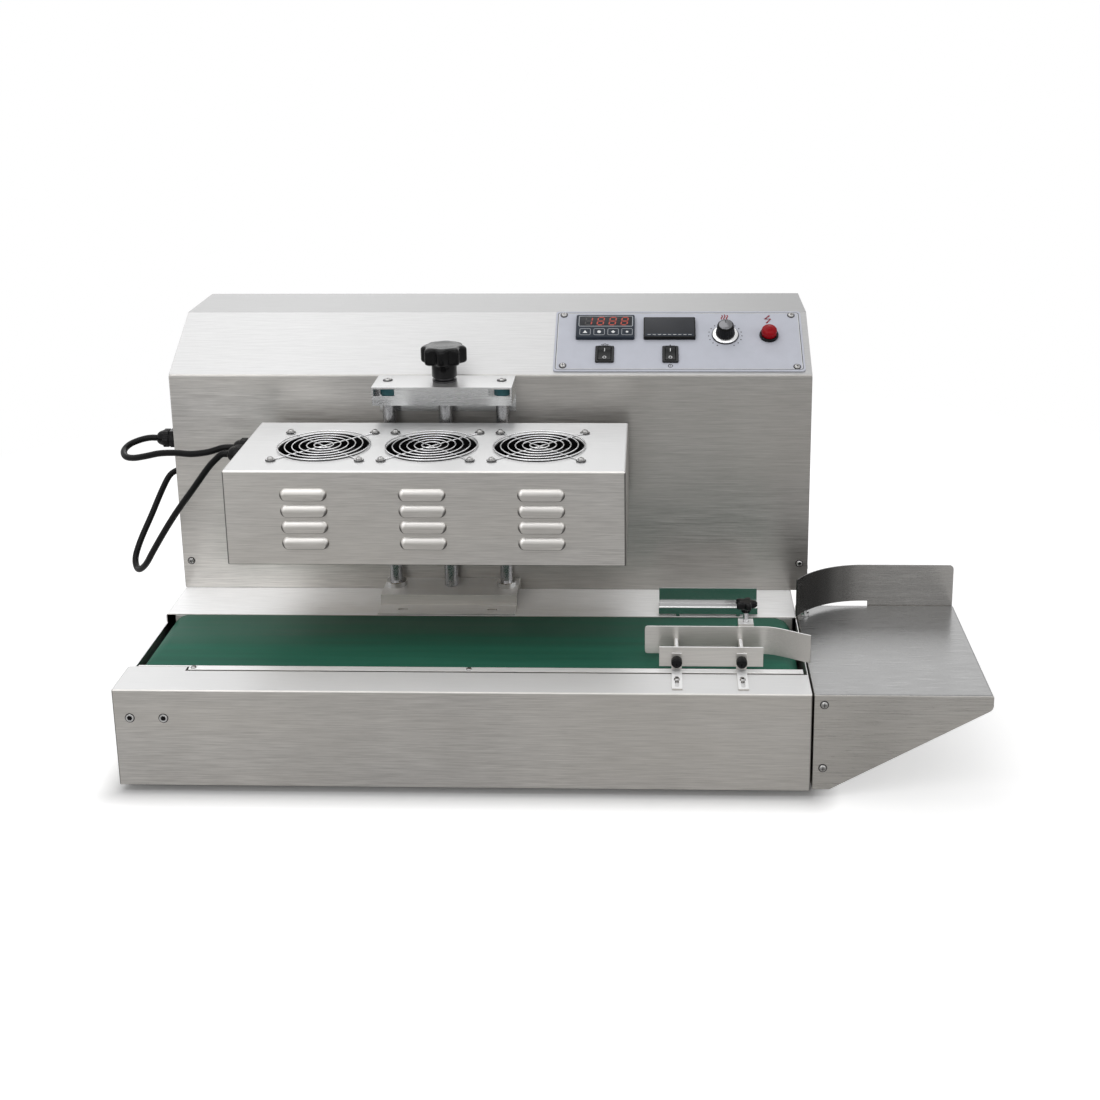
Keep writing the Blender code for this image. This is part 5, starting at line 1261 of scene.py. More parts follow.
class MakeHead(bpy.types.Operator):
    """Makes the sealing head's cover with its louvres, its base plate, coil and ferrites"""

    bl_idname = "sealer.head"
    bl_label = "Sealing head"

    # Of a louvre's hood: its depth and how far its outline draws in, as shares
    HOOD = ((0.0, 0.0), (0.3, 0.04), (0.55, 0.13), (0.76, 0.27), (0.92, 0.46), (1.0, 0.68))

    def execute(self, context):
        values = context.scene.sealer_head
        fold = context.scene.sealer_sheet.fold
        cover = self.shell(fold)
        hoods, openings = [], []
        centre = (HEAD_LOW.x + HEAD_HIGH.x) / 2 - 2 * MM
        for column in (-1, 0, 1):
            for row in range(4):
                x = centre + column * values.louvre_columns
                z = HEAD_HIGH.z - values.louvre_top - row * values.louvre_pitch
                hood, opening = self.louvre(values, x, z)
                hoods.append(hood)
                openings.append(opening)
        carve(cover, hoods, "UNION")
        carve(cover, openings)
        soften(cover, 0.5 * MM, 2, 50)
        fit(cover, "head_cover")
        dress("head_base_plate", "head_base", "laminate", 0.5 * MM)
        dress("coil_winding", "induction_coil", "copper", 1.5 * MM, 3)
        dress("ferrite_bars", "ferrite_yoke", "ferrite", 0.5 * MM)
        return {"FINISHED"}

    def shell(self, fold):
        """The folded cover with its fan and gland openings."""
        high = Vector(HEAD_HIGH)
        low = Vector((HEAD_LOW.x, HEAD_FRONT, HEAD_LOW.z))
        body = box_mesh(low, high)
        middle = (low.z + high.z) / 2
        bevel_edges(body, lambda a, b: max(a.z, b.z) > middle, fold, 6)
        bevel_edges(body, lambda a, b: max(a.z, b.z) < middle, 1.1 * MM, 3)
        cover = add_object("head_cover_folded", body, "head steel", 45)
        wall = Vector((SHEET, SHEET, 0))
        inner = box_mesh(low + wall - Vector((0, 0, SHEET)), high - wall - Vector((0, 0, SHEET)))
        tools = [add_object("tool", inner, "head steel")]
        for centre in FAN_CENTRES:
            hole = placed(disc(FAN_OPENING, -8 * MM, 8 * MM, 96), at(centre.x, centre.y, high.z))
            tools.append(add_object("tool", hole, "head steel"))
        for level in ("upper", "lower"):
            spot = middle_of(f"head_gland_{level}")
            hole = placed(disc(8 * MM, -12 * MM, 12 * MM, 32), along_axis((low.x, spot.y, spot.z), (1, 0, 0)))
            tools.append(add_object("tool", hole, "head steel"))
        return carve(cover, tools)

    def louvre(self, values, x, z):
        """The pressed hood of a louvre and the cutter of the slot under it."""
        half, tall = values.louvre_length / 2, values.louvre_height / 2
        wall, deep = HEAD_FRONT, values.louvre_depth
        loops = []
        for out, shrink in ((-0.5 * SHEET, 0), *self.HOOD):
            y = wall - out * deep if out > 0 else wall - out
            top = z + tall * (1 - shrink * 1.5)
            bottom = z - tall * (1 - shrink * 0.25)
            radius = (top - bottom) / 2
            reach = half - tall * shrink * 0.9
            outline = racetrack(x - reach + radius, x + reach - radius, (top + bottom) / 2, radius, 12)
            loops.append([(u, y, v) for u, v in outline])
        hood = add_object("tool", skin(loops), "head steel", 50)
        low = (x - half + tall * 0.9, wall - deep - 1 * MM, z - tall - 1 * MM)
        high = (x + half - tall * 0.9, wall + 4 * MM, z - tall * 0.55)
        inside = box_mesh((low[0], wall - deep + 0.9 * MM, low[2] + 0.4 * MM), (high[0], wall + 4 * MM, z + tall * 0.1))
        opening = add_object("tool", bevel_edges(inside, lambda a, b: True, 0.5 * MM, 1), "head steel")
        return hood, opening


class MakeFans(bpy.types.Operator):
    """Makes the fans' frames, rotors and wire guards"""

    bl_idname = "sealer.fans"
    bl_label = "Cooling fans"

    def execute(self, context):
        values = context.scene.sealer_fans
        for side in SIDES:
            self.frame(side)
            self.rotor(values, side)
            self.guard(values, side)
        return {"FINISHED"}

    def frame(self, side):
        """A square frame with a round duct, a motor plate and four spokes."""
        low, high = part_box(f"fan_frame_{side}")
        size = high.x - low.x
        centre = (low + high) / 2
        plate = skin([[(u, v, z) for u, v in rounded_rectangle(size, size, 5 * MM, 6)] for z in (low.z, high.z)])
        plate = placed(plate, at(centre.x, centre.y, 0))
        body = add_object(f"fan_duct_{side}", plate, "fan plastic")
        duct = metres([(0, -1), (56, -1), (54, 2.5), (53.6, 20), (55.5, 26), (0, 26)])
        duct = placed(revolve(duct, 64), at(centre.x, centre.y, low.z))
        carve(body, [add_object("tool", duct, "fan plastic")])
        arms = [disc(19.5 * MM, 0, 3 * MM, 40, 0.4 * MM)]
        arms.append(disc(1.4 * MM, 2.5 * MM, 9 * MM, 12))
        for k in range(4):
            arm = soft_box((15 * MM, -2.2 * MM, 0.1 * MM), (57 * MM, 2.2 * MM, 3 * MM), 0.5 * MM, 1)
            arms.append(placed(arm, Matrix.Rotation(math.radians(20 + 90 * k), 4, "Z")))
        arms = [placed(arm, at(centre.x, centre.y, low.z)) for arm in arms]
        spokes = add_object(f"fan_spokes_{side}", arms, "fan plastic")
        fit(body, f"fan_frame_{side}")
        fit(spokes, body="head")

    def rotor(self, values, side):
        """A hub with swept, twisted blades."""
        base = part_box(f"fan_rotor_{side}")[0].z
        centre = FAN_CENTRES[SIDES.index(side)]
        hub = metres([
            (2, 8), (2, 0), (18, 0), (19, 0.8), (19, 16), (18.6, 17.2), (17.4, 18), (13, 18), (12.6, 17.6),
            (0, 17.6),
        ])
        parts = [revolve([(0, 8 * MM), *hub], 48)]
        for k in range(values.blades):
            parts.append(placed(self.blade(), Matrix.Rotation(TURN * k / values.blades, 4, "Z")))
        parts = [placed(part, at(centre.x, centre.y, base)) for part in parts]
        fit(add_object(f"fan_wheel_{side}", parts, "fan plastic"), f"fan_rotor_{side}")

    def blade(self):
        """One blade, thin at its edges, skinned from hub to tip."""
        loops = []
        stations = 9
        for i in range(stations):
            along = i / (stations - 1)
            radius = (18 + 33.5 * along) * MM
            first = math.radians(14 * along**1.5)
            last = first + math.radians(36 - 6 * along)
            rise = (1 - 0.35 * along) * 12 * MM
            upper, lower = [], []
            for j in range(7):
                chord = j / 6
                angle = first + (last - first) * chord
                z = 3 * MM + rise * (chord + 0.12 * math.sin(math.pi * chord)) + 1.5 * MM * along
                thick = (0.35 + 0.75 * math.sin(math.pi * min(max(chord, 0.02), 0.98)) * (1 - 0.4 * along)) * MM
                spot = (radius * math.cos(angle), radius * math.sin(angle))
                upper.append((*spot, z + thick))
                lower.append((*spot, z - thick))
            loops.append(upper + lower[::-1])
        return skin(loops)

    def guard(self, values, side):
        """A wire guard: rings by Geometry Nodes, with crossing wires that end in screwed-down eyes."""
        centre = FAN_CENTRES[SIDES.index(side)]
        wire = values.wire
        top = HEAD_HIGH.z
        host = linked("rings", bpy.data.meshes.new("rings"))
        modifier = host.modifiers.new("rings", "NODES")
        modifier.node_group = rings_tree()
        given = {"Rings": values.rings, "Outer": 55 * MM, "Step": values.ring_step, "Wire": wire}
        set_inputs(modifier, {**given, "Finish": FINISHES["wire steel"]})
        rings = bmesh.new()
        rings.from_mesh(evaluated_mesh(host))
        bpy.data.objects.remove(host, do_unlink=True)
        low = GAP + wire
        placed(rings, at(0, 0, low + 1.7 * wire))
        parts = [rings]
        corner = values.screw_pitch / 2
        eye = 4.2 * MM
        for turn in (math.pi / 4, -math.pi / 4):
            reach = corner * math.sqrt(2)
            path = []
            for end in (-1, 1):
                middle = end * reach
                run = [(middle - end * (eye + 5 * MM), 0), (middle - end * (eye + 2.5 * MM), -end * 0.6 * MM)]
                for k in range(12):
                    angle = math.pi + 0.5 + k * (TURN - 1.0) / 11
                    run.append((middle + end * eye * math.cos(angle), end * eye * math.sin(angle)))
                path.append(run)
            points = [(u, v, low) for u, v in path[0][::-1] + path[1]]
            parts.append(placed(tube(points, wire, 8), Matrix.Rotation(turn, 4, "Z")))
        parts = [placed(part, at(centre.x, centre.y, top)) for part in parts]
        fit(add_object(f"wire_guard_{side}", parts, "wire steel", 60), f"fan_guard_{side}")


class MakeOutfeed(bpy.types.Operator):
    """Makes the outfeed table and its curved guard"""

    bl_idname = "sealer.outfeed"
    bl_label = "Outfeed table"

    # The radius of the guard's bend, and where the bend's centre lies past the base
    BEND, BEND_START = 105 * MM, 87.5 * MM

    def execute(self, context):
        edge = context.scene.sealer_sheet.edge
        dress("side_table", "outfeed_table", "table steel", edge, 3)
        self.guard()
        return {"FINISHED"}

    def guard(self):
        """The guard: straight along the table's back, then bent round towards the belt."""
        low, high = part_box("guard_plate")
        face = TABLE_HIGH.y + GAP
        radius = self.BEND
        centre = (BASE_HIGH.x + self.BEND_START, face - radius)
        first = math.acos((low.x - centre[0] + 0.4 * MM) / radius)
        path = [(high.x, face)]
        for k in range(41):
            angle = math.pi / 2 + (first - math.pi / 2) * k / 40
            path.append((centre[0] + radius * math.cos(angle), centre[1] + radius * math.sin(angle)))
        bm = prism_mesh(thicken(path[::-1], SHEET), "Z", DECK - 36 * MM, high.z)
        end, top = high.x - 0.1 * MM, high.z - 0.1 * MM
        bevel_edges(bm, lambda a, b: min(a.x, b.x) > end and min(a.z, b.z) > top, 6 * MM, 6)
        guard = add_object("curved_guard", bm, "guard steel")
        foot = (low.x - 0.02, face - radius - 0.02, DECK - 0.05)
        notch = add_object("tool", box_mesh(foot, (centre[0] + 6 * MM, face + 0.01, DECK + 5.5 * MM)), "guard steel")
        carve(guard, [notch])
        soften(guard, 0.35 * MM, 2, 50)
        fit(guard, "guard_plate")
        stud_x = TABLE_LOW.x + 10.2 * MM
        stud_y = centre[1] + math.sqrt((radius + SHEET / 2) ** 2 - (stud_x - centre[0]) ** 2)
        nut = placed(hex_nut(10 * MM, 4 * MM, 3 * MM), at(stud_x, stud_y, DECK + GAP))
        stud = placed(disc(3 * MM, 3 * MM, 7.4 * MM, 24), at(stud_x, stud_y, DECK))
        fit(add_object("guard_stud", [nut, stud], "bright steel"), body="base")


class MakeGuides(bpy.types.Operator):
    """Makes the adjustable front guide and the fixed rear guide"""

    bl_idname = "sealer.guides"
    bl_label = "Bottle guides"

    def execute(self, context):
        for side in ("left", "right"):
            dress(f"slotted_stand_{side}", f"guide_stand_{side}", "top steel", 0.4 * MM)
            self.thumb_knob(side)
        dress("carrier_plate", "guide_carrier", "top steel", 0.4 * MM)
        dress("guide_rail_sheet", "guide_sheet", "top steel", 0.35 * MM)
        self.star()
        dress("rear_guide_rail", "rear_guide", "bright steel", 0.4 * MM)
        return {"FINISHED"}

    def thumb_knob(self, side):
        """A knurled black knob with a polished nose."""
        low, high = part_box(f"guide_thumb_screw_{side}")
        grip = lobed(6.3 * MM, 0.14 * MM, 28)
        profile = metres([
            (0, 0), (2, 0), (2, 7), (5.8, 7), (grip, 7.5), (grip, 13.6), (5.9, 14.6), (4.9, 15.5), (3, 16),
            (0, 16),
        ])
        place = along_axis(((low.x + high.x) / 2, high.y, (low.z + high.z) / 2), (0, -1, 0))
        knob = add_object(f"knurled_knob_{side}", placed(revolve(profile, 112), place), "black plastic")
        fit(knob, f"guide_thumb_screw_{side}")

    def star(self):
        """The five-lobed knob on its post."""
        low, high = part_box("guide_star_knob")
        x, y = middle_of("guide_stand_right").x + 6.5 * MM, (low.y + high.y) / 2
        bottom = high.z - 14 * MM
        profile = metres([
            (0, 0), (5, 0), (5.6, 0.6), (5.8, 3.4), (lobed(7 * MM, 1 * MM, 5), 5),
            (lobed(9.8 * MM, 2.1 * MM, 5), 6.2), (lobed(10.9 * MM, 2.5 * MM, 5), 7.6),
            (lobed(11 * MM, 2.5 * MM, 5), 11.4), (lobed(10.3 * MM, 2.4 * MM, 5), 13),
            (lobed(8.8 * MM, 2 * MM, 5), 13.9), (5, 14), (0, 13.7),
        ], bottom)
        place = at(x, y, 0)
        knob = add_object("five_lobe_knob", placed(revolve(profile, 80), place), "black plastic", 50)
        fit(knob, "guide_star_knob")
        post = placed(disc(3 * MM, low.z, bottom + 1 * MM, 24, 0.4 * MM), place)
        fit(add_object("knob_post", post, "plated steel"), body="guide_star_knob")


class MakeControls(bpy.types.Operator):
    """Makes the control panel with its meter, display, switches, dial and button"""

    bl_idname = "sealer.controls"
    bl_label = "Controls"

    # The panel's face above the slope, and centres: X, and the distance up the slope
    SEAT = 2.6 * MM
    METER = (56.5 * MM, 82 * MM)
    WINDOW_ROW = 90.7 * MM
    KEYS = (30.4 * MM, 48.7 * MM, 66.9 * MM, 85 * MM)
    KEY_ROW = 71 * MM
    DISPLAY = (140.2 * MM, 79.8 * MM)
    ROCKERS = {"power": (56.5 * MM, 34 * MM), "conveyor": (141 * MM, 34 * MM)}
    # A cap's tilt at rest, the turns that its round ends span, and the bend of its dished face per square millimetre
    ROCKER_TILT = math.radians(10)
    ROCKER_ENDS = (math.radians(-12), math.radians(26))
    ROCKER_DISH = 0.0145
    DIAL = (212.5 * MM, 70 * MM)
    BUTTON = (269 * MM, 68.5 * MM)
    SEGMENTS = {
        "top": ((-0.5, 1), (0.5, 1)),
        "upper right": ((0.5, 1), (0.5, 0)),
        "lower right": ((0.5, 0), (0.5, -1)),
        "bottom": ((-0.5, -1), (0.5, -1)),
        "lower left": ((-0.5, 0), (-0.5, -1)),
        "upper left": ((-0.5, 1), (-0.5, 0)),
        "middle": ((-0.5, 0), (0.5, 0)),
    }

    def execute(self, context):
        values = context.scene.sealer_controls
        dress("panel_plate", "control_panel", "panel paint", 0.35 * MM)
        self.outline()
        self.meter(values)
        self.display()
        for name in self.ROCKERS:
            self.rocker(name)
        self.dial(values)
        self.button()
        self.prints(values)
        return {"FINISHED"}

    def put(self, name, parts, finish, centre, nodes=(), body=None, slot=None):
        """A piece on the panel, about a point of the slope."""
        parts = parts if isinstance(parts, list) else [parts]
        thing = add_object(name, [placed(part, on_slope(*centre)) for part in parts], finish)
        return fit(thing, nodes, body)

    def mark(self, name, parts, finish, centre, slot="slate_plastic"):
        """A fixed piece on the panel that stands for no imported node."""
        self.put(name, parts, finish, centre, body="base", slot=slot)

    def outline(self):
        """The dark and light lines printed just inside the panel's edge."""
        low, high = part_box("control_panel")
        tall = 109 * MM
        centre = ((low.x + high.x) / 2, 5.5 * MM + tall / 2)
        lines = (("dark", 2.6 * MM, 0.8 * MM, "black print"), ("pale", 3.5 * MM, 0.7 * MM, "white print"))
        for name, inset, stroke, finish in lines:
            size = (high.x - low.x - 2 * inset, tall - 2 * inset)
            strip = frame_strip(*size, 3 * MM, stroke, 2.1 * MM, 2.36 * MM)
            self.mark(f"panel_line_{name}", strip, finish, centre, "panel_grey")

    def meter(self, values):
        """The temperature meter: bezel, window, digits and four membrane keys."""
        seat = self.SEAT
        body = [inset_plate(76.5 * MM, 42 * MM, 2.5 * MM, seat, seat + 5 * MM, 0.8 * MM)]
        body.append(soft_box((-36 * MM, -17.5 * MM, -60 * MM), (36 * MM, 17.5 * MM, seat + 1 * MM), 0.6 * MM, 1))
        self.put("meter_case", body, "meter plastic", self.METER, "temperature_meter")
        face = seat + 5 * MM
        window = (self.METER[0] + 0.5 * MM, self.WINDOW_ROW)
        pane = inset_plate(68 * MM, 17 * MM, 1.2 * MM, face - 0.4 * MM, face + 0.06 * MM, 0.1 * MM)
        self.mark("meter_window", pane, "window glass", window)
        border = frame_strip(71 * MM, 19.6 * MM, 2 * MM, 0.9 * MM, face - 0.3 * MM, face + 0.12 * MM)
        self.mark("window_border", border, "grey print", window)
        lit_bars, dark_bars = [], []
        for index in range(4):
            x = (index - 1.5) * 15.6 * MM + 1.2 * MM
            for name, ends in self.SEGMENTS.items():
                bar = self.segment(values, x, ends, face + 0.06 * MM)
                is_lit = index > 0 or name.endswith("right")
                (lit_bars if is_lit else dark_bars).append(bar)
        self.mark("lit_digits", lit_bars, "lit segment", window)
        self.mark("unlit_digits", dark_bars, "dark segment", window)
        borders, marks = [], []
        for index, x in enumerate(self.KEYS):
            shift = at(x - self.METER[0], self.KEY_ROW - self.METER[1], 0)
            border = frame_strip(14.4 * MM, 12 * MM, 2 * MM, 0.6 * MM, face - 0.3 * MM, face + 0.15 * MM)
            borders.append(placed(border, shift))
            marks.append(placed(self.key_mark(index, face), shift))
        self.mark("key_borders", borders, "grey print", self.METER)
        self.mark("key_marks", marks, "white print", self.METER)

    def segment(self, values, x, ends, level):
        """One bar of a seven-segment digit, leaning with it."""
        half, wide = values.digit_height / 2, values.digit_height * 0.56
        lean = math.tan(values.digit_slant)
        stroke = 0.75 * MM
        start, stop = (Vector((end[0] * wide, end[1] * half)) for end in ends)
        along = (stop - start).normalized()
        start, stop = start + along * 0.8 * MM, stop - along * 0.8 * MM
        side = Vector((-along.y, along.x)) * stroke
        tip = along * stroke * 0.7
        outline = [start, start + tip + side, stop - tip + side, stop, stop - tip - side, start + tip - side]
        outline = [(x + point.x + point.y * lean, point.y) for point in outline]
        return prism_mesh(outline, "Z", level - 0.2 * MM, level + 0.12 * MM)

    def key_mark(self, index, face):
        """The mark of a key: a triangle, a dot, a diamond or a small dot."""
        low, high = face - 0.2 * MM, face + 0.15 * MM
        if index == 0:
            return prism_mesh([(-3 * MM, -2.2 * MM), (3 * MM, -2.2 * MM), (0, 2.8 * MM)], "Z", low, high)
        if index == 2:
            size = 2.7 * MM
            return prism_mesh([(-size, 0), (0, -size), (size, 0), (0, size)], "Z", low, high)
        return disc((2.4 if index == 1 else 1.7) * MM, low, high, 24)

    def display(self):
        """The plain dark display with its thin lower strip."""
        seat = self.SEAT
        body = [inset_plate(67.5 * MM, 37.5 * MM, 1.6 * MM, seat, seat + 5 * MM, 0.7 * MM)]
        body.append(soft_box((-30 * MM, -15.5 * MM, -40 * MM), (30 * MM, 15.5 * MM, seat + 1 * MM), 0.6 * MM, 1))
        self.put("display_case", body, "black plastic", self.DISPLAY, "timer_display")
        pane = inset_plate(64.5 * MM, 34.5 * MM, 1 * MM, seat + 4 * MM, seat + 5.1 * MM, 0.15 * MM)
        self.mark("display_pane", pane, "display glass", self.DISPLAY)
        strip = inset_plate(62 * MM, 4.4 * MM, 0.8 * MM, seat + 5 * MM, seat + 5.2 * MM, 0.05 * MM)
        spot = (self.DISPLAY[0], self.DISPLAY[1] - 14.2 * MM)
        self.mark("display_strip", strip, "meter plastic", spot)
        bars = []
        for k in range(9):
            x = (k - 4) * 6.6 * MM
            low, high = (x - 2.1 * MM, -0.35 * MM, seat + 5.1 * MM), (x + 2.1 * MM, 0.35 * MM, seat + 5.28 * MM)
            bars.append(soft_box(low, high, 0.08 * MM, 1))
        self.mark("strip_marks", bars, "white print", spot)

    def rocker(self, name):
        """A rocker switch: its bezel, and its cap with the two marks."""
        seat = self.SEAT
        centre = self.ROCKERS[name]
        bezel, body = f"{name}_switch_frame", f"{name}_rocker"
        width, pocket = (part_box(source)[1].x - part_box(source)[0].x for source in (bezel, body))
        pocket += 0.6 * MM
        corners = []
        for wide, tall, round_by, z in (
            (width, 29, 2, 0),
            (width, 29, 2, 1.7),
            (width - 1.4 * MM, 27.6, 1.6, 2.4),
            (pocket + 0.4 * MM, 25, 0.5, 2.4),
            (pocket, 24.6, 0.4, 2),
            (pocket, 24.6, 0.4, -6),
            (pocket + 2 * MM, 26.4, 0.8, -6),
            (pocket + 2 * MM, 26.4, 0.8, 0),
        ):
            outline = rounded_rectangle(wide, tall * MM, round_by * MM)
            corners.append([(u, v, seat + z * MM) for u, v in outline])
        reach = pocket / 2 + 1 * MM
        floor = box_mesh((-reach, -13.2 * MM, -20 * MM), (reach, 13.2 * MM, seat - 6 * MM))
        well = [skin(corners, closed=True), floor]
        self.put(f"{name}_bezel", well, "switch plastic", centre, bezel)
        tilt = Matrix.Rotation(self.ROCKER_TILT, 4, "X")
        radius, half = 12 * MM, pocket / 2 - 0.6 * MM
        foot_turn, rim_turn = self.ROCKER_ENDS
        steps = [foot_turn + (rim_turn - foot_turn) * k / 8 for k in range(9)]
        side = [(radius * math.cos(turn), radius * math.sin(turn)) for turn in steps]
        dish = [(u * MM, (3 + self.ROCKER_DISH * u * u) * MM) for u in (8, 5, 2.5, 0, -2.5, -5, -8)]
        outline = side + dish + [(-u, v) for u, v in side[::-1]]
        cap = prism_mesh(outline, "X", -half, half)
        cap = placed(cap, on_slope(*centre, seat) @ tilt)
        thing = add_object(f"{name}_cap", cap, "switch plastic", 40)
        soften(thing, 0.4 * MM, 2, 50)
        fit(thing, body)
        marks = []
        ring = revolve(metres([(1.6, -0.3), (2.4, -0.3), (2.4, 0.12), (1.6, 0.12)]), 24, ring=True)
        bar = box_mesh((-0.45 * MM, -2.3 * MM, -0.3 * MM), (0.45 * MM, 2.3 * MM, 0.12 * MM))
        for part, y in ((ring, -6.2 * MM), (bar, 5.4 * MM)):
            rise = (3 + self.ROCKER_DISH * (y / MM) ** 2) * MM
            lean = Matrix.Rotation(math.atan(2 * self.ROCKER_DISH * y / MM), 4, "X")
            marks.append(placed(part, on_slope(*centre, seat) @ tilt @ at(0, y, rise) @ lean))
        fit(add_object(f"{name}_cap_marks", marks, "white print"), body=body)

    def dial(self, values):
        """The speed dial: white skirt, fluted black grip and bright cap."""
        seat = self.SEAT
        top = seat + 19 * MM
        flute = values.dial_flutes
        rim = disc(17.5 * MM, seat, seat + 0.9 * MM, 64, 0.2 * MM)
        skirt = metres([(3.3, 0.9), (16.2, 0.9), (16.6, 1.2), (16.4, 1.9), (15.2, 2.7), (13, 3.3), (3.3, 3.3)], seat)
        grip = metres([(0, 12.4), (3.3, 12.4), (3.3, 3.2)], seat)
        flutes = ((12.3, 3.2, 0.05), (12.5, 4.2, 0.3), (11.2, 9, 0.3), (10.8, 16.4, 0.25), (10.4, 18, 0.05))
        for radius, z, swing in flutes:
            grip.append((lobed(radius * MM, swing * MM, flute), seat + z * MM))
        grip += metres([(9.8, -0.2), (9.1, 0), (8.9, -0.3), (0, -0.3)], top)
        cap = metres([(0, -0.5), (8.8, -0.5), (8.8, 0.1), (8.2, 0.5), (0, 0.5)], top)
        pointer = soft_box((-0.5 * MM, 3 * MM, top + 0.3 * MM), (0.5 * MM, 8 * MM, top + 0.6 * MM), 0.1 * MM, 1)
        self.put("dial_grip", revolve(grip, 8 * flute), "black plastic", self.DIAL, "speed_dial")
        for name, part, finish in (
            ("rim", rim, "black plastic"),
            ("skirt", revolve(skirt, 64, ring=True), "dial white"),
            ("cap", revolve(cap, 64), "cap aluminium"),
            ("pointer", pointer, "black print"),
        ):
            self.put(f"dial_{name}", part, finish, self.DIAL, body="speed_dial", slot="black_plastic")

    def button(self):
        """The red push button in its black collar."""
        seat = self.SEAT
        collar = metres([
            (7, 0), (11.9, 0), (12.4, 0.5), (12.4, 2.6), (12.1, 3.5), (11.4, 4), (10.4, 4), (10.3, 3.6),
            (10.3, 0.4), (7, 0.4),
        ], seat)
        barrel = metres([(7, -18), (8, -18)]) + metres([(8, 0.2), (7, 0.2)], seat)
        parts = [revolve(collar, 64, ring=True), revolve(barrel, 48, ring=True)]
        self.put("button_collar", parts, "black plastic", self.BUTTON, "seal_button_collar")
        low = seat + 3.7 * MM
        top = seat + 15 * MM
        dome = metres([(0, -10), (6.6, -10)]) + metres([(6.6, 0), (9.8, 0), (10, 0.3)], low)
        dome += metres([(10, -5.6)], top)
        for k in range(7):
            turn = math.pi / 2 * k / 6
            dome.append(((6.6 + 3.4 * math.cos(turn)) * MM, top - 5 * MM + 3.4 * MM * math.sin(turn)))
        dome += metres([(5.8, -1.5), (5.5, -1.4), (4.8, -1.1), (3, -0.3), (1.5, -0.05), (0, 0)], top)
        self.put("red_button", revolve(dome, 64), "button red", self.BUTTON, "seal_button")

    def prints(self, values):
        """The dots round the dial, and the small plain marks beside the switches."""
        level = 2.3 * MM
        dots = []
        count = values.dial_ticks
        for k in range(count):
            angle = math.radians(240) - math.radians(300) * k / (count - 1)
            spot = on_slope(*self.DIAL, level) @ Vector((21.6 * MM * math.cos(angle), 21.6 * MM * math.sin(angle), 0))
            normal = (0, -math.sin(SLOPE_TILT), math.cos(SLOPE_TILT))
            dots.append((spot, normal, 0.0))
        scatter("dial_ticks", disc(0.85 * MM, -0.3 * MM, 0.06 * MM, 16), dots, "black print", "base")

        def flat(outline):
            return prism_mesh(outline, "Z", level - 0.3 * MM, level + 0.06 * MM)

        def flat_ring(outer, inner, x, y):
            profile = metres([(inner, -0.3), (outer, -0.3), (outer, 0.06), (inner, 0.06)], level)
            return placed(revolve(profile, 32, ring=True), at(x, y, 0))

        power, conveyor = self.ROCKERS["power"], self.ROCKERS["conveyor"]
        dark = [flat_ring(2.3, 1.2, 0, 18.3 * MM)]
        for side in (-1, 1):
            dark.append(flat([(side * 5.2 * MM, 18.3 * MM), (side * 3 * MM, 19.9 * MM), (side * 3 * MM, 16.7 * MM)]))
        self.mark("power_mark", dark, "black print", power, "panel_grey")
        bar = flat(metres([(-0.35, -21), (0.35, -21), (0.35, -18), (-0.35, -18)]))
        dot = placed(disc(0.9 * MM, level - 0.3 * MM, level + 0.06 * MM, 16), at(0, 17.8 * MM, 0))
        dark = [flat_ring(3.2, 2.2, 0, -19.5 * MM), bar, dot]
        self.mark("conveyor_mark", dark, "black print", conveyor, "panel_grey")
        waves = []
        for k in (-1, 0, 1):
            tall = 4 * MM if k else 5 * MM
            path = []
            for i in range(9):
                t = i / 8 * 2 - 1
                path.append((k * 3.4 * MM + 0.9 * MM * math.sin(t * math.pi), 33 * MM + t * tall, level))
            waves.append(tube(path, 0.7 * MM, 6))
        self.mark("heat_mark", waves, "red print", self.DIAL, "panel_grey")
        path = [(x * MM, y * MM, level) for x, y in ((2.5, 37.5), (-4, 31), (3.6, 31), (-2.2, 23.5))]
        self.mark("button_mark", tube(path, 1.05 * MM, 6), "red print", self.BUTTON, "panel_grey")


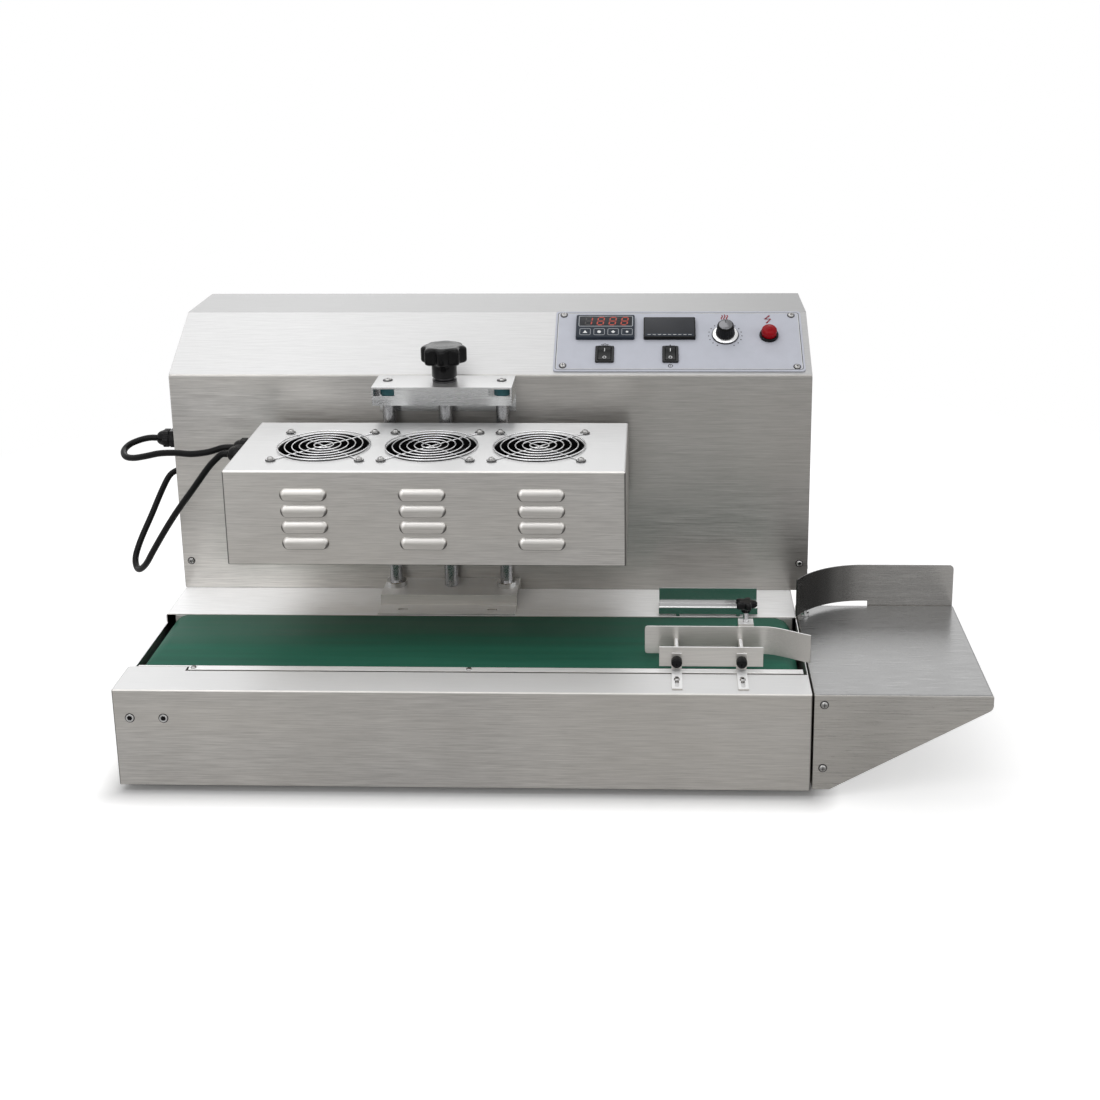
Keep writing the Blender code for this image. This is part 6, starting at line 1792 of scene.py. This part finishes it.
class MakeFasteners(bpy.types.Operator):
    """Makes every visible screw and nut with Geometry Nodes"""

    bl_idname = "sealer.fasteners"
    bl_label = "Screws and nuts"

    # Where screws sit: their X, or Y and Z, and the row or line that they share
    SOCKETS, SOCKET_ROW = (-0.483, -0.444), 0.0955
    CABINET, CABINET_ROW = (-0.4917, 0.3095), 0.169
    BACK, BACK_ROWS, BACK_FACE = (-0.47, -0.1, 0.29), (0.15, 0.46), 0.2485
    SIDE = ((0.232, 0.155), (0.232, 0.455), (0.06, 0.155))
    TABLE, TABLE_COLUMN = (0.1185, 0.0393), 0.3125
    RAIL, RAIL_LINE = (-0.423, -0.097), -0.1935
    STAND_LINE = -0.22
    # On the panel, in millimetres: X, and the distance up the slope
    PANEL = ((1.5, 107.5), (3.3, 14.8), (299.8, 106.8), (301.9, 13))

    def execute(self, context):
        values = context.scene.sealer_fans
        front = (0, -1, 0)
        up = (0, 0, 1)
        sockets = [(Vector((x, BASE_LOW.y, self.SOCKET_ROW)), front, 0.3) for x in self.SOCKETS]
        ring = metres([
            (3.1, -0.5), (4.9, -0.5), (4.9, 0.5), (4.5, 1.1), (3.5, 1.1), (hexagon(5.6 * MM), 0.9),
            (hexagon(5.4 * MM), -0.5),
        ])
        scatter("base_screws", revolve(ring, 48, ring=True), sockets, "bright steel")
        scatter("base_screw_sockets", disc(3.5 * MM, -0.6 * MM, 0.6 * MM, 32), sockets, "fan plastic")
        self.washer_shadows("base_screw_seats", sockets, 5.7 * MM)
        cabinet = [(Vector((x, CABINET_FRONT, self.CABINET_ROW)), front, 0.5) for x in self.CABINET]
        back = [(Vector((x, self.BACK_FACE, z)), (0, 1, 0), x * 7) for x in self.BACK for z in self.BACK_ROWS]
        side = []
        for y, z in self.SIDE:
            side.append((Vector((CABINET_LOW.x, y, z)), (-1, 0, 0), y * 9))
            side.append((Vector((CABINET_HIGH.x, y, z)), (1, 0, 0), y * 5))
        table = [(Vector((self.TABLE_COLUMN, BASE_LOW.y, z)), front, z * 40) for z in self.TABLE]
        spots = cabinet + back + side + table
        scatter("case_screws", pan_screw(4.2 * MM), spots, "screw steel")
        self.washer_shadows("case_screw_seats", spots, 5.1 * MM)
        normal = (0, -math.sin(SLOPE_TILT), math.cos(SLOPE_TILT))
        panel = []
        for x, along in self.PANEL:
            panel.append((on_slope(x * MM, along * MM, 2.3 * MM).translation, normal, x))
        scatter("panel_screws", pan_screw(3.9 * MM), panel, "screw steel")
        self.washer_shadows("panel_screw_seats", panel, 4.9 * MM)
        self.lift(up)
        self.fan_screws(values, up)
        self.guides(up)
        return {"FINISHED"}

    def washer_shadows(self, name, spots, radius):
        """Thin dark discs under screw heads: partly a dark washer, partly a painted contact shadow round each head."""
        scatter(name, disc(radius, -0.4 * MM, 0.35 * MM, 32, 0.1 * MM), spots, "dark steel")

    def lift(self, up):
        """Screws on the bracket and nuts below it and on the platform."""
        top = CABINET_FOLD
        heads = [(Vector((spot.x, spot.y, top)), up, spot.x * 30) for spot in ROD_SPOTS]
        scatter("bracket_screws", pan_screw(4.4 * MM), heads, "screw steel")
        washer = revolve(metres([(2, 0), (6.2, 0), (6.2, 0.7), (5.9, 1), (2, 1)]), 32, ring=True)
        scatter("bracket_washers", washer, heads, "dark steel")
        under = [(Vector((spot.x, spot.y, top - 2.1 * MM)), (0, 0, -1), 0.2) for spot in ROD_SPOTS]
        nut = metres([(8.1, 0), (10.4, 0), (10.6, 0.4), (10.6, 6), (10, 6.6), (10, 15.4), (9.4, 16.2), (8.1, 16.2)])
        scatter("rod_nuts", revolve(nut, 40, ring=True), under, "teal plating")
        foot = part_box("lift_platform")[1].z
        spots = [(Vector((spot.x, spot.y, foot)), up, 0.4) for spot in ROD_SPOTS]
        collar = revolve(metres([(8.1, 0), (13, 0), (13, 6.4), (12.4, 7), (8.1, 7)]), 40, ring=True)
        scatter("rod_collars", collar, spots, "bright steel")
        rail_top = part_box("conveyor_side_front")[1].z
        rail = [(Vector((x, self.RAIL_LINE, rail_top)), up, x * 11) for x in self.RAIL]
        scatter("rail_screws", pan_screw(3.4 * MM), rail, "screw steel")

    def fan_screws(self, values, up):
        """A screw and a washer in each eye of the fan guards."""
        half = values.screw_pitch / 2
        spots = []
        for centre in FAN_CENTRES:
            for dx in (-half, half):
                for dy in (-half, half):
                    spots.append((Vector((centre.x + dx, centre.y + dy, HEAD_HIGH.z)), up, dx * 50 + centre.x))
        washer = [disc(5.2 * MM, 1.85 * MM, 2.5 * MM, 32, 0.15 * MM)]
        head = [placed(pan_screw(3.7 * MM), at(0, 0, 3.0 * MM))]
        shank = [disc(1.8 * MM, -3 * MM, 2.4 * MM, 16)]
        # Dark discs a little wider than the washers: a painted contact shadow under the guard screws.
        scatter("guard_seats", disc(6 * MM, 1.3 * MM, 1.87 * MM, 32, 0.15 * MM), spots, "dark steel", "head")
        scatter("guard_screws", gathered(washer + head + shank), spots, "screw steel", "head")

    def guides(self, up):
        """The screws in the stands' slots."""
        spots = []
        for side in ("left", "right"):
            x = middle_of(f"guide_stand_{side}").x
            spots.append((Vector((x, self.STAND_LINE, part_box(f"guide_stand_{side}")[0].z + 2 * MM)), up, x * 20))
        scatter("stand_screws", pan_screw(3.6 * MM), spots, "screw steel")


class FinishNodes(bpy.types.Operator):
    """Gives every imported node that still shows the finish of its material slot"""

    bl_idname = "sealer.finish_nodes"
    bl_label = "Finishes of packed nodes"

    def execute(self, context):
        for name, thing in NODES.items():
            finish = FINISHES[NODE_FINISH[SLOT_OF[name]]]
            thing.data.materials.clear()
            thing.data.materials.append(finish)
        return {"FINISHED"}


class MakeFinishes(bpy.types.Operator):
    """Makes the materials"""

    bl_idname = "sealer.finishes"
    bl_label = "Materials"

    def execute(self, context):
        make_finishes(context.scene.sealer_finishes)
        return {"FINISHED"}


OPERATORS = (
    MakeFinishes,
    MakeStage,
    MakeCables,
    MakeBase,
    MakeConveyor,
    MakeCabinet,
    MakeLift,
    MakeHead,
    MakeFans,
    MakeOutfeed,
    MakeGuides,
    MakeControls,
    MakeFasteners,
    FinishNodes,
)


class SealerPanel(bpy.types.Panel):
    """Lists the sizes, the colours and the steps that build the sealer"""

    bl_idname = "VIEW3D_PT_sealer"
    bl_label = "Induction Cap Sealer"
    bl_space_type = "VIEW_3D"
    bl_region_type = "UI"
    bl_category = "Sealer"

    def draw(self, context):
        layout = self.layout
        for key, group in SETTINGS.items():
            column = layout.column(align=True)
            for name in group.__annotations__:
                column.prop(getattr(context.scene, key), name)
        for operator in OPERATORS:
            layout.operator(operator.bl_idname)


def register():
    for group in (*SETTINGS.values(), *OPERATORS, SealerPanel):
        bpy.utils.register_class(group)
    for key, group in SETTINGS.items():
        setattr(bpy.types.Scene, key, PointerProperty(type=group))


def unregister():
    for key in SETTINGS:
        delattr(bpy.types.Scene, key)
    for group in (SealerPanel, *reversed(OPERATORS), *reversed(list(SETTINGS.values()))):
        bpy.utils.unregister_class(group)


def main():
    """Registers the add-on and builds every piece."""
    register()
    for operator in OPERATORS:
        family, step = operator.bl_idname.split(".")
        getattr(getattr(bpy.ops, family), step)()


if __name__ == "__main__":
    main()
